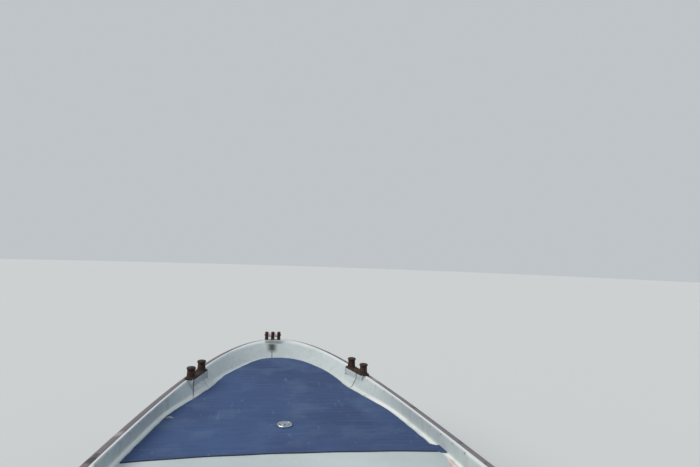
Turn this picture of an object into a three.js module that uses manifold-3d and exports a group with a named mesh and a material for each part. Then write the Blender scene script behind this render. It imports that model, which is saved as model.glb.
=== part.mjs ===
// An open cargo work boat about 8 m long: moulded hull, raised foredeck with a non-skid panel, an
// open hold, a helm console and an outboard motor on the transom.
// Millimetres. +X runs to the bow, +Y to port, +Z up. The origin is on the waterline amidships.
import * as THREE from 'three';
import { mergeVertices } from 'three/addons/utils/BufferGeometryUtils.js';
import Module from 'manifold-3d';

const wasm = await Module();
wasm.setup();

// Driving dimensions
const bowX = 4000;
const sternX = -4000;
const transomRake = 0.18;
const transomThickness = 45;
const shellThickness = 28;
const fitGap = 1;
const restGap = 0.5;
const lipHeight = 700;
const bowRise = 150;
const riseStartX = 1000;
const bulwarkHeight = 100;
const jointDrop = 118;
const deckCamber = 12;
const panelThickness = 5;
const panelAftX = 1800;
const foredeckAftX = 1545;
const sideDeckWidth = 190;
const flangeDrop = bulwarkHeight + 70;
const floorTop = 50;
const floorThickness = 25;
const maxBeamHalf = 1020;

// Hull levels from keel to the deck joint. stemX: where the level meets the stem. nose: length of its
// curved entry. half and sternHalf: half breadths. fullness: 0.5 is an ellipse, 1 a fine entry.
const levels = [
  { name: 'keel', stemX: 3150, nose: 5200, half: 0, fullness: 1, bowZ: -60, midZ: -220, sternZ: -200, sternHalf: 0 },
  { name: 'garboard', stemX: 3300, nose: 5200, half: 420, fullness: 1, bowZ: 20, midZ: -165, sternZ: -150, sternHalf: 400 },
  { name: 'chine', stemX: 3560, nose: 5200, half: 790, fullness: 0.95, bowZ: 240, midZ: -60, sternZ: -60, sternHalf: 740 },
  { name: 'lower', stemX: 3740, nose: 5000, half: 880, fullness: 0.8, bowZ: 430, midZ: 160, sternZ: 150, sternHalf: 800 },
  { name: 'upper', stemX: 3900, nose: 4900, half: 965, fullness: 0.62, bowZ: 610, midZ: 400, sternZ: 400, sternHalf: 860 },
];
const lipLevel = { stemX: bowX, nose: 4900, half: maxBeamHalf, fullness: 0.5, sternHalf: 900 };
const jointLevel = { stemX: bowX - 22, nose: 4900, half: maxBeamHalf - 6, fullness: 0.51, sternHalf: 894 };

// Stations: square-law rows over the bow, then cross sections at these x.
const bowRows = 12;
const bowJoinX = panelAftX;
const aftStations = [1545, 1000, 400, -200, -800, -1400, -2000, -2600, -3200, -3600];

// Foot of the bulwark on the foredeck, one entry for each bow row: distance aft of the bow and half breadth.
const bulwarkFoot = [
  { aft: 262, half: 0 },
  { aft: 270, half: 70 },
  { aft: 296, half: 140 },
  { aft: 350, half: 210 },
  { aft: 432, half: 276 },
  { aft: 548, half: 344 },
  { aft: 674, half: 408 },
  { aft: 812, half: 452 },
  { aft: 1012, half: 500 },
  { aft: 1240, half: 590 },
  { aft: 1528, half: 700 },
  { aft: 1849, half: 765 },
  { aft: 2200, half: 820 },
];

const lipZ = (x) => lipHeight + bowRise * Math.max(0, (x - riseStartX) / (bowX - riseStartX)) ** 2;
const deckZ = (x) => lipZ(x) - bulwarkHeight;
const jointZ = (x) => lipZ(x) - jointDrop;
const transomX = (z) => sternX + transomRake * (lipHeight - z);

function levelZ(level, x) {
  if (level.bowZ === undefined) return jointZ(x);
  if (x < 0) return level.midZ + (level.sternZ - level.midZ) * (x / sternX) ** 2;
  const rise = Math.max(0, (x - riseStartX) / (level.stemX - riseStartX));
  return level.midZ + (level.bowZ - level.midZ) * rise ** 2.2;
}

function levelHalf(level, x) {
  const aft = level.stemX - x;
  if (aft <= 0) return 0;
  if (aft < level.nose) return level.half * (1 - (1 - aft / level.nose) ** 2) ** level.fullness;
  const back = (level.stemX - level.nose - x) / (level.stemX - level.nose - sternX);
  return level.half - (level.half - level.sternHalf) * back ** 2;
}

// Row number (0 at the bow tip, bowRows at the join) to x on a level.
const bowRowX = (level, row) => level.stemX - (level.stemX - bowJoinX) * (row / bowRows) ** 2;

const vec = (x, y, z) => new THREE.Vector3(x, y, z);

// Geometry helpers
function fromTriangles(points) {
  const array = new Float32Array(points.length * 3);
  points.forEach((p, i) => p.toArray(array, i * 3));
  const soup = new THREE.BufferGeometry().setAttribute('position', new THREE.BufferAttribute(array, 3));
  return withoutSlivers(mergeVertices(soup, 0.01));
}

// Drops triangles that use one point twice.
function withoutSlivers(geometry) {
  const index = geometry.index.array;
  const kept = [];
  for (let i = 0; i < index.length; i += 3) {
    const [a, b, c] = [index[i], index[i + 1], index[i + 2]];
    if (a !== b && b !== c && c !== a) kept.push(a, b, c);
  }
  return geometry.setIndex(kept);
}

// Skin over rings of points (each ring closed on itself), with flat caps across X where asked.
function loft(rings, capStart = true, capEnd = true) {
  const triangles = [];
  const count = rings[0].length;
  for (let i = 0; i + 1 < rings.length; i += 1) {
    for (let j = 0; j < count; j += 1) {
      const k = (j + 1) % count;
      const [a, b, c, d] = [rings[i][j], rings[i][k], rings[i + 1][k], rings[i + 1][j]];
      triangles.push(a, b, c, a, c, d);
    }
  }
  const cap = (ring, flip) => {
    const flat = ring.map((p) => new THREE.Vector2(p.y, p.z));
    for (const [a, b, c] of THREE.ShapeUtils.triangulateShape(flat, [])) {
      triangles.push(ring[a], ring[flip ? c : b], ring[flip ? b : c]);
    }
  };
  const area = THREE.ShapeUtils.area(rings[0].map((p) => new THREE.Vector2(p.y, p.z)));
  const endArea = THREE.ShapeUtils.area(rings.at(-1).map((p) => new THREE.Vector2(p.y, p.z)));
  if (capStart) cap(rings[0], area < 0 ? false : true);
  if (capEnd) cap(rings.at(-1), endArea < 0 ? true : false);
  return outward(fromTriangles(triangles));
}

// Closed body between an upper and a lower grid of points. A folded first row closes on itself.
function slab(upper, lower, foldedStart = false) {
  const triangles = [];
  const rows = upper.length;
  const columns = upper[0].length;
  const quad = (a, b, c, d) => triangles.push(a, b, c, a, c, d);
  for (let i = 0; i + 1 < rows; i += 1) {
    for (let j = 0; j + 1 < columns; j += 1) {
      quad(upper[i][j], upper[i][j + 1], upper[i + 1][j + 1], upper[i + 1][j]);
      quad(lower[i][j], lower[i + 1][j], lower[i + 1][j + 1], lower[i][j + 1]);
    }
    quad(upper[i][0], upper[i + 1][0], lower[i + 1][0], lower[i][0]);
    const last = columns - 1;
    quad(upper[i][last], lower[i][last], lower[i + 1][last], upper[i + 1][last]);
  }
  for (let j = 0; j + 1 < columns; j += 1) {
    const end = rows - 1;
    quad(upper[end][j], upper[end][j + 1], lower[end][j + 1], lower[end][j]);
    if (!foldedStart) quad(upper[0][j], lower[0][j], lower[0][j + 1], upper[0][j + 1]);
  }
  return outward(fromTriangles(triangles));
}

// Turns a closed geometry's faces outward.
function outward(geometry) {
  const p = geometry.getAttribute('position');
  const index = geometry.index.array;
  const [a, b, c] = [vec(0, 0, 0), vec(0, 0, 0), vec(0, 0, 0)];
  let volume = 0;
  for (let i = 0; i < index.length; i += 3) {
    a.fromBufferAttribute(p, index[i]);
    b.fromBufferAttribute(p, index[i + 1]);
    c.fromBufferAttribute(p, index[i + 2]);
    volume += a.dot(b.cross(c));
  }
  if (volume < 0) {
    for (let i = 0; i < index.length; i += 3) [index[i + 1], index[i + 2]] = [index[i + 2], index[i + 1]];
  }
  return geometry;
}

function solidOf(geometry) {
  const bare = new THREE.BufferGeometry().setAttribute('position', geometry.getAttribute('position'));
  if (geometry.index) bare.setIndex(geometry.index);
  const merged = withoutSlivers(mergeVertices(bare, 0.001));
  return new wasm.Manifold(new wasm.Mesh({
    numProp: 3,
    vertProperties: new Float32Array(merged.getAttribute('position').array),
    triVerts: new Uint32Array(merged.index.array),
  }));
}

function geometryOf(solid) {
  const mesh = solid.getMesh();
  const geometry = new THREE.BufferGeometry();
  geometry.setAttribute('position', new THREE.BufferAttribute(new Float32Array(mesh.vertProperties), 3));
  geometry.setIndex(new THREE.BufferAttribute(new Uint32Array(mesh.triVerts), 1));
  return geometry;
}

const join = (...geometries) => geometryOf(geometries.map(solidOf).reduce((a, b) => a.add(b)));
const cut = (geometry, ...tools) => geometryOf(tools.map(solidOf).reduce((a, b) => a.subtract(b), solidOf(geometry)));
const common = (a, b) => geometryOf(solidOf(a).intersect(solidOf(b)));

function box(x0, x1, y0, y1, z0, z1) {
  return new THREE.BoxGeometry(x1 - x0, y1 - y0, z1 - z0)
    .translate((x0 + x1) / 2, (y0 + y1) / 2, (z0 + z1) / 2);
}

function rod(radius, length, axis, x, y, z, sides = 16, endRadius = radius) {
  const geometry = new THREE.CylinderGeometry(endRadius, radius, length, sides);
  if (axis === 'x') geometry.rotateZ(-Math.PI / 2);
  if (axis === 'z') geometry.rotateX(Math.PI / 2);
  return geometry.translate(x, y, z);
}

// Outline in the XZ plane, as [x, z] pairs, extruded between y0 and y1.
function sideProfile(outline, y0, y1) {
  const shape = new THREE.Shape(outline.map(([x, z]) => new THREE.Vector2(x, z)));
  return new THREE.ExtrudeGeometry(shape, { depth: y1 - y0, bevelEnabled: false })
    .rotateX(Math.PI / 2).translate(0, y1, 0);
}

// Outline in the XY plane, as a THREE.Shape, extruded between z0 and z1.
function plate(shape, z0, z1) {
  return new THREE.ExtrudeGeometry(shape, { depth: z1 - z0, bevelEnabled: false, curveSegments: 6 })
    .translate(0, 0, z0);
}

// Hull
const hullLevels = [...levels, jointLevel];
const mirrorRing = (half) => [...half, ...half.slice(1).reverse().map((p) => vec(p.x, -p.y, p.z))];

// Ring from the keel up the port side to the joint, then across and down the starboard side.
function hullRing(xOf) {
  return mirrorRing(hullLevels.map((level) => {
    const x = xOf(level);
    return vec(x, levelHalf(level, x), levelZ(level, x));
  }));
}

function hullOuter() {
  const rings = [];
  for (let row = 0; row <= bowRows; row += 1) rings.push(hullRing((level) => bowRowX(level, row)));
  for (const x of aftStations) rings.push(hullRing(() => x));
  rings.push(hullRing((level) => transomX(levelZ(level, sternX))));
  return loft(rings, false, true);
}

// Inside of the hull, set in by a wall thickness, from one x to the transom and open above.
function hullInside(inset, fromX, transomInset) {
  const open = 500;
  const stations = [fromX, 2600, 2300, 2050, bowJoinX, ...aftStations].filter((x) => x <= fromX);
  const ringAt = (xOf) => mirrorRing([...hullLevels, null].map((level) => {
    const top = level === null;
    const used = level ?? jointLevel;
    const x = xOf(used);
    const half = Math.max(0, levelHalf(used, x) - (used.half ? inset : 0));
    const lift = used === jointLevel ? 0 : inset * (used.half ? 0.9 : 1.15);
    return vec(x, half, levelZ(used, x) + (top ? open : lift));
  }));
  const rings = [...new Set(stations)].map((x) => ringAt(() => x));
  rings.push(ringAt((level) => transomX(levelZ(level, sternX)) + transomInset));
  const last = rings.at(-1);
  for (const p of last) p.x = transomX(p.z) + transomInset;
  return loft(rings, true, true);
}

const cavityFrontX = 2900;
const notchHalf = 310;
const notchZ = 330;

const plateGap = 0.3;
const forepeakJoinX = 1575;

// The whole shell: the outer form less the cavity and the motor notch
function hullShell() {
  const cavity = hullInside(shellThickness, cavityFrontX, transomThickness);
  const notch = box(sternX - 100, sternX + 300, -notchHalf, notchHalf, notchZ, lipHeight);
  return cut(hullOuter(), cavity, notch);
}

// Everything under the mitre that runs from the chine in through the shell
function underChine(lift) {
  const chine = levels[2];
  const mitre = new THREE.Vector2(1, -0.9).normalize();
  const outBy = 60;
  const inBy = 60;
  const far = 600;
  const rings = [cavityFrontX + 50, cavityFrontX, 2600, 2300, 2050, bowJoinX, ...aftStations, sternX - 100].map((x) => {
    const y = levelHalf(chine, x) - mitre.y * lift;
    const z = levelZ(chine, x) + mitre.x * lift;
    return mirrorRing([
      vec(x, 0, -far), vec(x, y + mitre.x * outBy, -far), vec(x, y + mitre.x * outBy, z + mitre.y * outBy),
      vec(x, y - mitre.x * inBy, z - mitre.y * inBy), vec(x, 0, z - mitre.y * inBy),
    ]);
  });
  return loft(rings);
}

// Space forward of the transom plate, or the transom's own space behind it
function transomSpace(behind) {
  const face = (z, by) => [transomX(z) + transomThickness + by, z];
  const far = behind ? sternX - 400 : cavityFrontX - plateGap;
  const by = behind ? -plateGap : plateGap;
  return sideProfile([face(-600, by), face(1000, by), [far, 1000], [far, -600]], -1200, 1200);
}

// The hull's plates, mitred where they meet
function hullPlates() {
  const shell = hullShell();
  const plates = common(shell, transomSpace(false));
  const bottom = common(plates, underChine(-plateGap));
  const topsides = cut(plates, underChine(plateGap));
  const nodes = {
    bow: common(shell, box(cavityFrontX + plateGap, bowX + 100, -1200, 1200, -600, 1000)),
    transom: common(shell, transomSpace(true)),
  };
  const lengths = { hull: [sternX - 200, forepeakJoinX - plateGap], forepeak: [forepeakJoinX, cavityFrontX] };
  for (const [name, [from, to]] of Object.entries(lengths)) {
    nodes[`${name}_bottom`] = common(bottom, box(from, to, -1200, 1200, -600, 1000));
    nodes[`${name}_side_port`] = common(topsides, box(from, to, 1, 1200, -600, 1000));
    nodes[`${name}_side_starboard`] = common(topsides, box(from, to, -1200, -1, -600, 1000));
  }
  return nodes;
}

const fitSpace = hullInside(shellThickness + fitGap, cavityFrontX - fitGap, transomThickness + fitGap);

// False keel along the bottom and the band up the stem
function falseKeel() {
  const depth = 45;
  const halfWidth = 18;
  const bowXs = [4, 5, 6, 7, 8, 9, 10, 11, 12].map((row) => bowRowX(levels[0], row));
  const line = [...bowXs, ...aftStations.slice(0, -1)].map((x) => [x, levelZ(levels[0], x) - restGap * 2]);
  const under = line.map(([x, z]) => [x, z - depth]).reverse();
  under[0][0] += 60;
  under.at(-1)[0] -= 60;
  return sideProfile([...line, ...under], -halfWidth, halfWidth);
}

function stemBand() {
  const thickness = 12;
  const halfWidth = 20;
  const line = levels.map((level) => [level.stemX, level.bowZ]);
  line.push([jointLevel.stemX, jointZ(bowX)], [bowX, lipZ(bowX) - 30]);
  const back = line.map(([x, z]) => [x + 1.6, z - 0.6]);
  const front = line.map(([x, z]) => [x + thickness, z - thickness * 0.7]).reverse();
  return sideProfile([...back, ...front], -halfWidth, halfWidth);
}

// Outer skin of the deck mouldings between the lip and the joint, at a drop below the lip
function skirtPoint(row, drop) {
  const share = drop / jointDrop;
  const at = (level) => {
    const x = row.bowRow === undefined ? row.x : bowRowX(level, row.bowRow);
    return vec(x, levelHalf(level, x), 0);
  };
  const p = at(lipLevel).lerp(at(jointLevel), share);
  p.z = lipZ(p.x) - drop;
  return p;
}

function rubRail(side) {
  // Section: out from the skirt, and drop below the lip
  const section = [
    { out: 0, drop: 34 }, { out: 26, drop: 36 }, { out: 42, drop: 52 },
    { out: 42, drop: 88 }, { out: 26, drop: 104 }, { out: 0, drop: 106 },
  ];
  const rows = [{ bowRow: 0.32 }];
  for (let row = 1; row <= bowRows; row += 1) rows.push({ bowRow: row });
  for (const x of [...aftStations, sternX + 4]) rows.push({ x });
  const rings = rows.map((row) => section.map(({ out, drop }) => {
    const p = skirtPoint(row, drop);
    const ahead = row.bowRow === undefined ? skirtPoint({ x: row.x + 5 }, drop) : skirtPoint({ bowRow: row.bowRow - 0.05 }, drop);
    const along = ahead.sub(p).setZ(0).normalize();
    const normal = vec(-along.y, along.x, 0).multiplyScalar(out + 1.5);
    p.add(normal);
    return vec(p.x, Math.max(p.y, 21) * side, p.z);
  }));
  return loft(rings, true, true);
}

// Foredeck: lip, sloping bulwark face, fillet and cambered deck, in rows from the bow
const footAt = (row) => (row <= bowRows ? bulwarkFoot[row] : { aft: bowX - foredeckAftX, half: 846 });
const deckColumns = [1, 0.75, 0.5, 0.25, 0];
const filletWidth = 14;
const crown = (half, share) => deckCamber * (1 - share ** 2) * (half / bulwarkFoot.at(-1).half) ** 2;

function foredeckRow(row) {
  const outerX = row <= bowRows ? bowRowX(lipLevel, row) : foredeckAftX;
  const outer = vec(outerX, levelHalf(lipLevel, outerX), lipZ(outerX));
  const foot = footAt(row);
  const footX = bowX - foot.aft;
  const footPoint = vec(footX, foot.half, deckZ(footX));
  const inward = footPoint.clone().sub(outer).setZ(0);
  const width = inward.length();
  const lipWidth = Math.min(30, width * 0.62);
  const lipInner = outer.clone().addScaledVector(inward, lipWidth / width);
  lipInner.z = lipZ(lipInner.x);
  const filletTop = footPoint.clone().addScaledVector(inward, -Math.min(filletWidth, width * 0.25) / width);
  filletTop.z = deckZ(footX) + filletWidth;
  const deck = deckColumns.map((share) => vec(footX, foot.half * share, deckZ(footX) + crown(foot.half, share)));
  return [outer, lipInner, filletTop, ...deck];
}

function acrossRow(half) {
  return [...half, ...half.slice(0, -1).reverse().map((p) => vec(p.x, -p.y, p.z))];
}

// Seats on the lip, just proud of it. turn: the fitting's long way follows the lip.
const seat = (side, x, y, turn) => ({ side, x, y, turn, z: lipZ(x) + 1 });
const bollardPads = [seat(1, 2960, 600, 0.3), seat(-1, 3030, -586, -0.36)];
const stemHeadPad = seat(1, 3935, 40, 0);

function onPad(geometry, pad) {
  const slope = 2 * bowRise * (pad.x - riseStartX) / (bowX - riseStartX) ** 2;
  return geometry.rotateZ(-pad.turn).rotateY(-Math.atan(slope)).translate(pad.x, pad.y, pad.z);
}

function foredeck() {
  const upper = [];
  const lower = [];
  for (let row = 0; row <= bowRows + 1; row += 1) {
    const top = foredeckRow(row);
    const skirt = skirtPoint(row <= bowRows ? { bowRow: row } : { x: foredeckAftX }, jointDrop);
    const bottom = top.map((p, i) => {
      const q = i === 0 ? skirt : p;
      return vec(q.x, q.y, jointZ(q.x) + restGap);
    });
    upper.push(acrossRow(top));
    lower.push(acrossRow(bottom));
  }
  const pads = bollardPads.map((pad) => {
    const section = [[-31, 0], [10, 0], [10, -20], [-31, -50]];
    const ring = (x) => section.map(([y, z]) => vec(x, y * pad.side, z));
    return onPad(loft([ring(-125), ring(125)]), pad);
  });
  const stemPad = onPad(sideProfile([[-30, 0], [-30, -46], [24, -22], [24, 0]], -68, 68), stemHeadPad);
  return join(slab(upper, lower, true), ...pads, stemPad);
}

function nonskidPanel() {
  const inset = 0.992;
  const rowAt = (row, lift) => acrossRow(deckColumns.map((share) => {
    const foot = bulwarkFoot[row];
    const x = bowX - foot.aft - (row === 0 ? 4 : 0);
    return vec(x, foot.half * share * inset, deckZ(x) + crown(foot.half, share * inset) + lift);
  }));
  const rows = bulwarkFoot.map((_, row) => row);
  return slab(rows.map((row) => rowAt(row, panelThickness)), rows.map((row) => rowAt(row, 2 * restGap)), true);
}

// Bulwark and side deck, from the foredeck to the stern, each in two lengths. in: distance inboard of
// the lip's edge. drop: distance below the lip. The bulwark also lands on the hull's deck joint.
const bulwarkWidth = 40;
const bulwarkSection = [
  { in: 0, drop: 0 }, { in: 22, drop: 0 }, { in: 28, drop: bulwarkHeight - filletWidth },
  { in: bulwarkWidth, drop: bulwarkHeight }, { in: bulwarkWidth, drop: jointDrop - restGap },
];
const sideDeckInner = sideDeckWidth - 18;
const sideDeckSection = [
  { in: bulwarkWidth + restGap, drop: bulwarkHeight }, { in: sideDeckWidth, drop: bulwarkHeight },
  { in: sideDeckWidth, drop: flangeDrop }, { in: sideDeckInner, drop: flangeDrop },
  { in: sideDeckInner, drop: jointDrop - restGap }, { in: bulwarkWidth + restGap, drop: jointDrop - restGap },
];
const sideJoinX = aftStations.find((x) => x < -1000);
const sideLengths = [
  { name: 'fore', from: foredeckAftX - restGap, to: sideJoinX + plateGap },
  { name: 'aft', from: sideJoinX - plateGap, to: sternX + 2 },
];

function sideLength(side, section, { from, to }) {
  const xs = [from, ...aftStations.filter((x) => x < from - 1 && x > to + 1), to];
  const rings = xs.map((x) => {
    const lip = levelHalf(lipLevel, x);
    const ring = section.map((s) => vec(x, (lip - s.in) * side, lipZ(x) - s.drop));
    if (section === bulwarkSection) ring.push(vec(x, levelHalf(jointLevel, x) * side, jointZ(x) + restGap));
    return ring;
  });
  const overTransom = box(sternX - 50, sternX + 130, -1100, 1100, 400, jointZ(sternX) + restGap);
  return cut(loft(rings, true, true), overTransom);
}

// Hold
const holdFrontX = 1560;
const holdBackX = -1600;
const bulkheadThickness = 30;
const doorHalf = 260;
const doorBottom = 120;
const doorTop = 500;

const within = (...limits) => common(fitSpace, box(...limits));

function foreBulkhead() {
  const wall = within(holdFrontX, holdFrontX + bulkheadThickness, -1000, 1000, -250, jointZ(holdFrontX) - 3);
  return cut(wall, box(holdFrontX - 50, holdFrontX + 100, -doorHalf, doorHalf, doorBottom, doorTop));
}

const hingePin = 6;
const doorHinge = { x: holdFrontX - 26, y: doorHalf + 30, z: (doorTop + doorBottom) / 2 };

function forepeakDoor() {
  const leaf = box(holdFrontX - 24, holdFrontX - 6, -doorHalf - 20, doorHalf + 18, doorBottom - 18, doorTop + 18);
  const knuckle = rod(hingePin, 280, 'z', doorHinge.x, doorHinge.y, doorHinge.z, 10);
  const strap = box(doorHinge.x - 2, doorHinge.x + 3, doorHalf - 30, doorHinge.y, doorHinge.z - 130, doorHinge.z + 130);
  const grip = box(holdFrontX - 52, holdFrontX - 44, -205, -185, 255, 365);
  const feet = [265, 345].map((z) => box(holdFrontX - 46, holdFrontX - 22, -202, -188, z, z + 12));
  return join(leaf, knuckle, strap, grip, ...feet);
}

function doorHingeLeaf() {
  const { x, y, z } = doorHinge;
  const leaf = box(holdFrontX - 4, holdFrontX - restGap, y - 2, y + 34, doorBottom, doorTop);
  const ends = [z - 165, z + 165].flatMap((end) => [
    rod(hingePin, 38, 'z', x, y, end, 10),
    box(x, holdFrontX - 3, y - 3, y + 3, end - 19, end + 19),
  ]);
  return join(leaf, ...ends);
}

function holdFloor() {
  return within(holdBackX + 2, holdFrontX - 2, -900, 900, floorTop - floorThickness, floorTop);
}

// Ribs and a stringer fastened inside the topsides, joined on each side
function sideFrames(side) {
  const depth = 38;
  const hollow = hullInside(shellThickness + fitGap + depth, cavityFrontX - fitGap - depth, 400);
  const lining = cut(fitSpace, hollow);
  const limits = (x0, x1, z0, z1) => box(x0, x1, side > 0 ? 0 : -1100, side > 0 ? 1100 : 0, z0, z1);
  const top = jointZ(0) - 80;
  const ribs = [1250, 730, 210, -310, -830, -1350].map((x) => limits(x - 27, x + 27, floorTop + 1, top));
  const stringer = limits(-1520, 1420, 300, 350);
  return common(lining, join(stringer, ...ribs));
}

function midBulkhead() {
  return within(holdBackX - bulkheadThickness, holdBackX, -1000, 1000, -250, lipHeight - flangeDrop - 2);
}

function midThwart() {
  const backX = holdBackX - 180;
  const half = levelHalf(lipLevel, backX) - sideDeckWidth - 3;
  return box(backX, holdBackX + 60, -half, half, lipHeight - flangeDrop, deckZ(0));
}

// Helm station
const benchFrontX = -2830;
const benchBackX = -3238;
const wellFrontX = -3330;

function cockpitFloor() {
  return within(benchBackX, holdBackX - bulkheadThickness - 2, -900, 900, floorTop - floorThickness, floorTop);
}

const consoleFrontX = -1792;
const consoleBackX = -2150;
const consoleLeft = -150;
const consoleRight = -650;
const consoleTop = 1000;

function console_() {
  const outline = [
    [consoleFrontX, floorTop + restGap], [consoleFrontX, consoleTop], [consoleFrontX - 120, consoleTop],
    [consoleBackX, 900], [consoleBackX, 690], [consoleBackX + 70, 650], [consoleBackX + 70, floorTop + restGap],
  ];
  const shelf = box(consoleBackX + 60, consoleFrontX - 20, consoleRight + 20, consoleLeft - 20, floorTop + 20, 630);
  return cut(sideProfile(outline, consoleRight, consoleLeft), shelf);
}

function windscreen() {
  const outline = [
    [consoleFrontX - 20, consoleTop + restGap], [consoleFrontX - 90, 1230],
    [consoleFrontX - 97, 1229], [consoleFrontX - 27, consoleTop + restGap],
  ];
  return sideProfile(outline, consoleRight + 15, consoleLeft - 15);
}

const wheelHub = { x: consoleBackX - 70, y: -400, z: 800 };

function helmShaft() {
  return rod(16, 50, 'x', consoleBackX - restGap - 25, wheelHub.y, wheelHub.z, 12);
}

function steeringWheel() {
  const radius = 165;
  const rim = new THREE.TorusGeometry(radius, 12, 8, 28).rotateY(Math.PI / 2).translate(wheelHub.x, wheelHub.y, wheelHub.z);
  const hub = rod(32, 28, 'x', wheelHub.x, wheelHub.y, wheelHub.z, 16);
  const spokes = [0, 1, 2].map((i) => box(-4, 4, -14, 14, 0, radius).rotateX(Math.PI / 6 + i * 2 * Math.PI / 3)
    .translate(wheelHub.x, wheelHub.y, wheelHub.z));
  return join(rim, hub, ...spokes);
}

const leverPivot = { x: -2020, y: consoleLeft + 60, z: 845 };

function throttleBox() {
  return box(leverPivot.x - 60, leverPivot.x + 60, consoleLeft + restGap, leverPivot.y - 15, 770, 900);
}

function throttleLever() {
  const { x, y, z } = leverPivot;
  const boss = rod(22, 18, 'y', x, y, z, 12);
  const knob = rod(17, 50, 'y', x, y - 12, z + 165, 10);
  return join(boss, box(x - 8, x + 8, y - 6, y + 6, z, z + 165), knob);
}

// Bench locker across the stern, with a lid hinged along its back edge
const benchHalf = 560;
const benchTop = 440;
const benchWall = 18;

function benchLocker() {
  const outer = box(benchBackX, benchFrontX, -benchHalf, benchHalf, floorTop + restGap, benchTop);
  const inner = box(benchBackX + benchWall, benchFrontX - benchWall, -benchHalf + benchWall, benchHalf - benchWall,
    floorTop + benchWall, benchTop + 50);
  return cut(outer, inner);
}

const lidHinge = { x: benchBackX + 8, z: benchTop + 32 };

function benchLid() {
  const leaf = box(benchBackX + 22, benchFrontX + 20, -benchHalf - 12, benchHalf + 12, benchTop + 6, benchTop + 28);
  const knuckle = rod(hingePin, 940, 'y', lidHinge.x, 0, lidHinge.z, 10);
  const strap = box(lidHinge.x, benchBackX + 60, -460, 460, lidHinge.z - 2, lidHinge.z + 2);
  return join(leaf, knuckle, strap, box(benchBackX + 24, benchBackX + 58, -455, 455, benchTop + 20, lidHinge.z));
}

function benchHingeLeaf() {
  const { x, z } = lidHinge;
  const leaf = box(benchBackX - 4, benchBackX - restGap, -benchHalf + 20, benchHalf - 20, benchTop - 50, z);
  const ends = [-505, 505].flatMap((y) => [
    rod(hingePin, 50, 'y', x, y, z, 10),
    box(benchBackX - 3, x, y - 25, y + 25, z - 3, z + 3),
  ]);
  return join(leaf, ...ends);
}

// Aft deck and the splash well in front of the motor
const wellHalf = 380;
const wellFloor = 212;
const wellBackX = -3872;

function aftDeck() {
  const frontX = benchBackX - 12;
  const half = (x) => levelHalf(lipLevel, x) - sideDeckWidth - 3;
  const backX = sternX + 6;
  const shape = new THREE.Shape([
    [frontX, -half(frontX)], [backX, -half(backX)], [backX, -wellHalf], [wellFrontX, -wellHalf],
    [wellFrontX, wellHalf], [backX, wellHalf], [backX, half(backX)], [frontX, half(frontX)],
  ].map(([x, y]) => new THREE.Vector2(x, y)));
  return plate(shape, deckZ(0) - 17.5, deckZ(0));
}

function splashWell() {
  const wall = 12;
  const top = deckZ(0) - 18;
  const backAt = (z) => wellBackX + transomRake * (notchZ - z) + 1;
  const outline = (inset, z0) => [
    [wellFrontX + inset, z0], [wellFrontX + inset, top + (z0 > wellFloor - 5 ? 60 : 0)],
    [backAt(top) - (inset ? 40 : 0), top + (z0 > wellFloor - 5 ? 60 : 0)], [backAt(z0) - (inset ? 40 : 0), z0],
  ];
  const shell = sideProfile(outline(0, wellFloor - wall), -wellHalf + 1, wellHalf - 1);
  return cut(shell, sideProfile(outline(-wall, wellFloor), -wellHalf + wall, wellHalf - wall));
}

function aftBulkhead() {
  return within(benchBackX - 30, benchBackX - 12, -1000, 1000, -200, deckZ(0) - 100);
}

const transomFace = (z, outBy) => [transomX(z) - outBy, z];

function outerPad() {
  const outline = [transomFace(100, 1), transomFace(notchZ, 1), transomFace(notchZ, 13), transomFace(100, 13)];
  return sideProfile(outline, -150, 150);
}

// Mooring fittings
function doubleBollard() {
  const plateTop = 8;
  const posts = [-88, 88].map((x) => join(
    rod(29, 74, 'z', x, 0, plateTop + 36, 14, 25),
    rod(33, 12, 'z', x, 0, plateTop + 76, 14),
  ));
  return join(box(-130, 130, -33, 33, 0, plateTop), ...posts);
}

function hornCleat() {
  const horn = rod(13, 210, 'x', 0, 0, 58, 10, 13);
  const legs = [-35, 35].map((x) => rod(15, 52, 'z', x, 0, 32, 10));
  return join(box(-70, 70, -22, 22, 0, 10), horn, ...legs);
}

function stemHead() {
  const plate = box(-32, 32, -72, 72, 0, 10);
  const cheeks = [-55, 0, 55].map((y) => rod(15, 84, 'z', 0, y, 50, 12, 12));
  const roller = rod(22, 128, 'y', 0, 0, 60, 14);
  return join(plate, roller, ...cheeks);
}

function deckPlate() {
  const x = 2210;
  const slope = 2 * bowRise * (x - riseStartX) / (bowX - riseStartX) ** 2;
  const ring = join(rod(46, 7, 'z', 0, 0, 4.5, 24), rod(30, 5, 'z', 0, 0, 9, 20), box(-22, 22, -4, 4, 8, 16));
  return ring.rotateY(-Math.atan(slope)).translate(x, 0, deckZ(x) + deckCamber + panelThickness);
}

// Outboard motor. tilt: the horizontal hinge at the clamp. steerX: the vertical steering axis.
const tilt = { x: -3968, z: 418 };
const steerX = -4082;
const shaftZ = -372;

function clampBracket() {
  const inX = transomX(notchZ) + transomThickness;
  const plates = [-104, 84].map((y) => sideProfile([
    [transomX(130) - 15, 130], [transomX(notchZ) - 15, notchZ + 3], [inX + 3, notchZ + 3],
    [inX + 3 + 0.18 * 90, 240], [inX + 34, 240], [inX + 34, notchZ + 38], [tilt.x + 32, notchZ + 44],
    [tilt.x + 22, tilt.z + 20], [tilt.x, tilt.z + 28], [tilt.x - 24, tilt.z + 14],
    [tilt.x - 30, notchZ], [transomX(130) - 50, 130],
  ], y, y + 20));
  const tube = rod(14, 236, 'y', tilt.x, 0, tilt.z, 16);
  const tie = box(inX + 12, inX + 32, -90, 90, notchZ + 6, notchZ + 34);
  const screws = [-94, 94].map((y) => rod(9, 60, 'x', inX + 44, y, 275, 10));
  const knobs = [-94, 94].map((y) => rod(22, 14, 'x', inX + 74, y, 275, 10));
  return join(...plates, tube, tie, ...screws, ...knobs);
}

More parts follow.
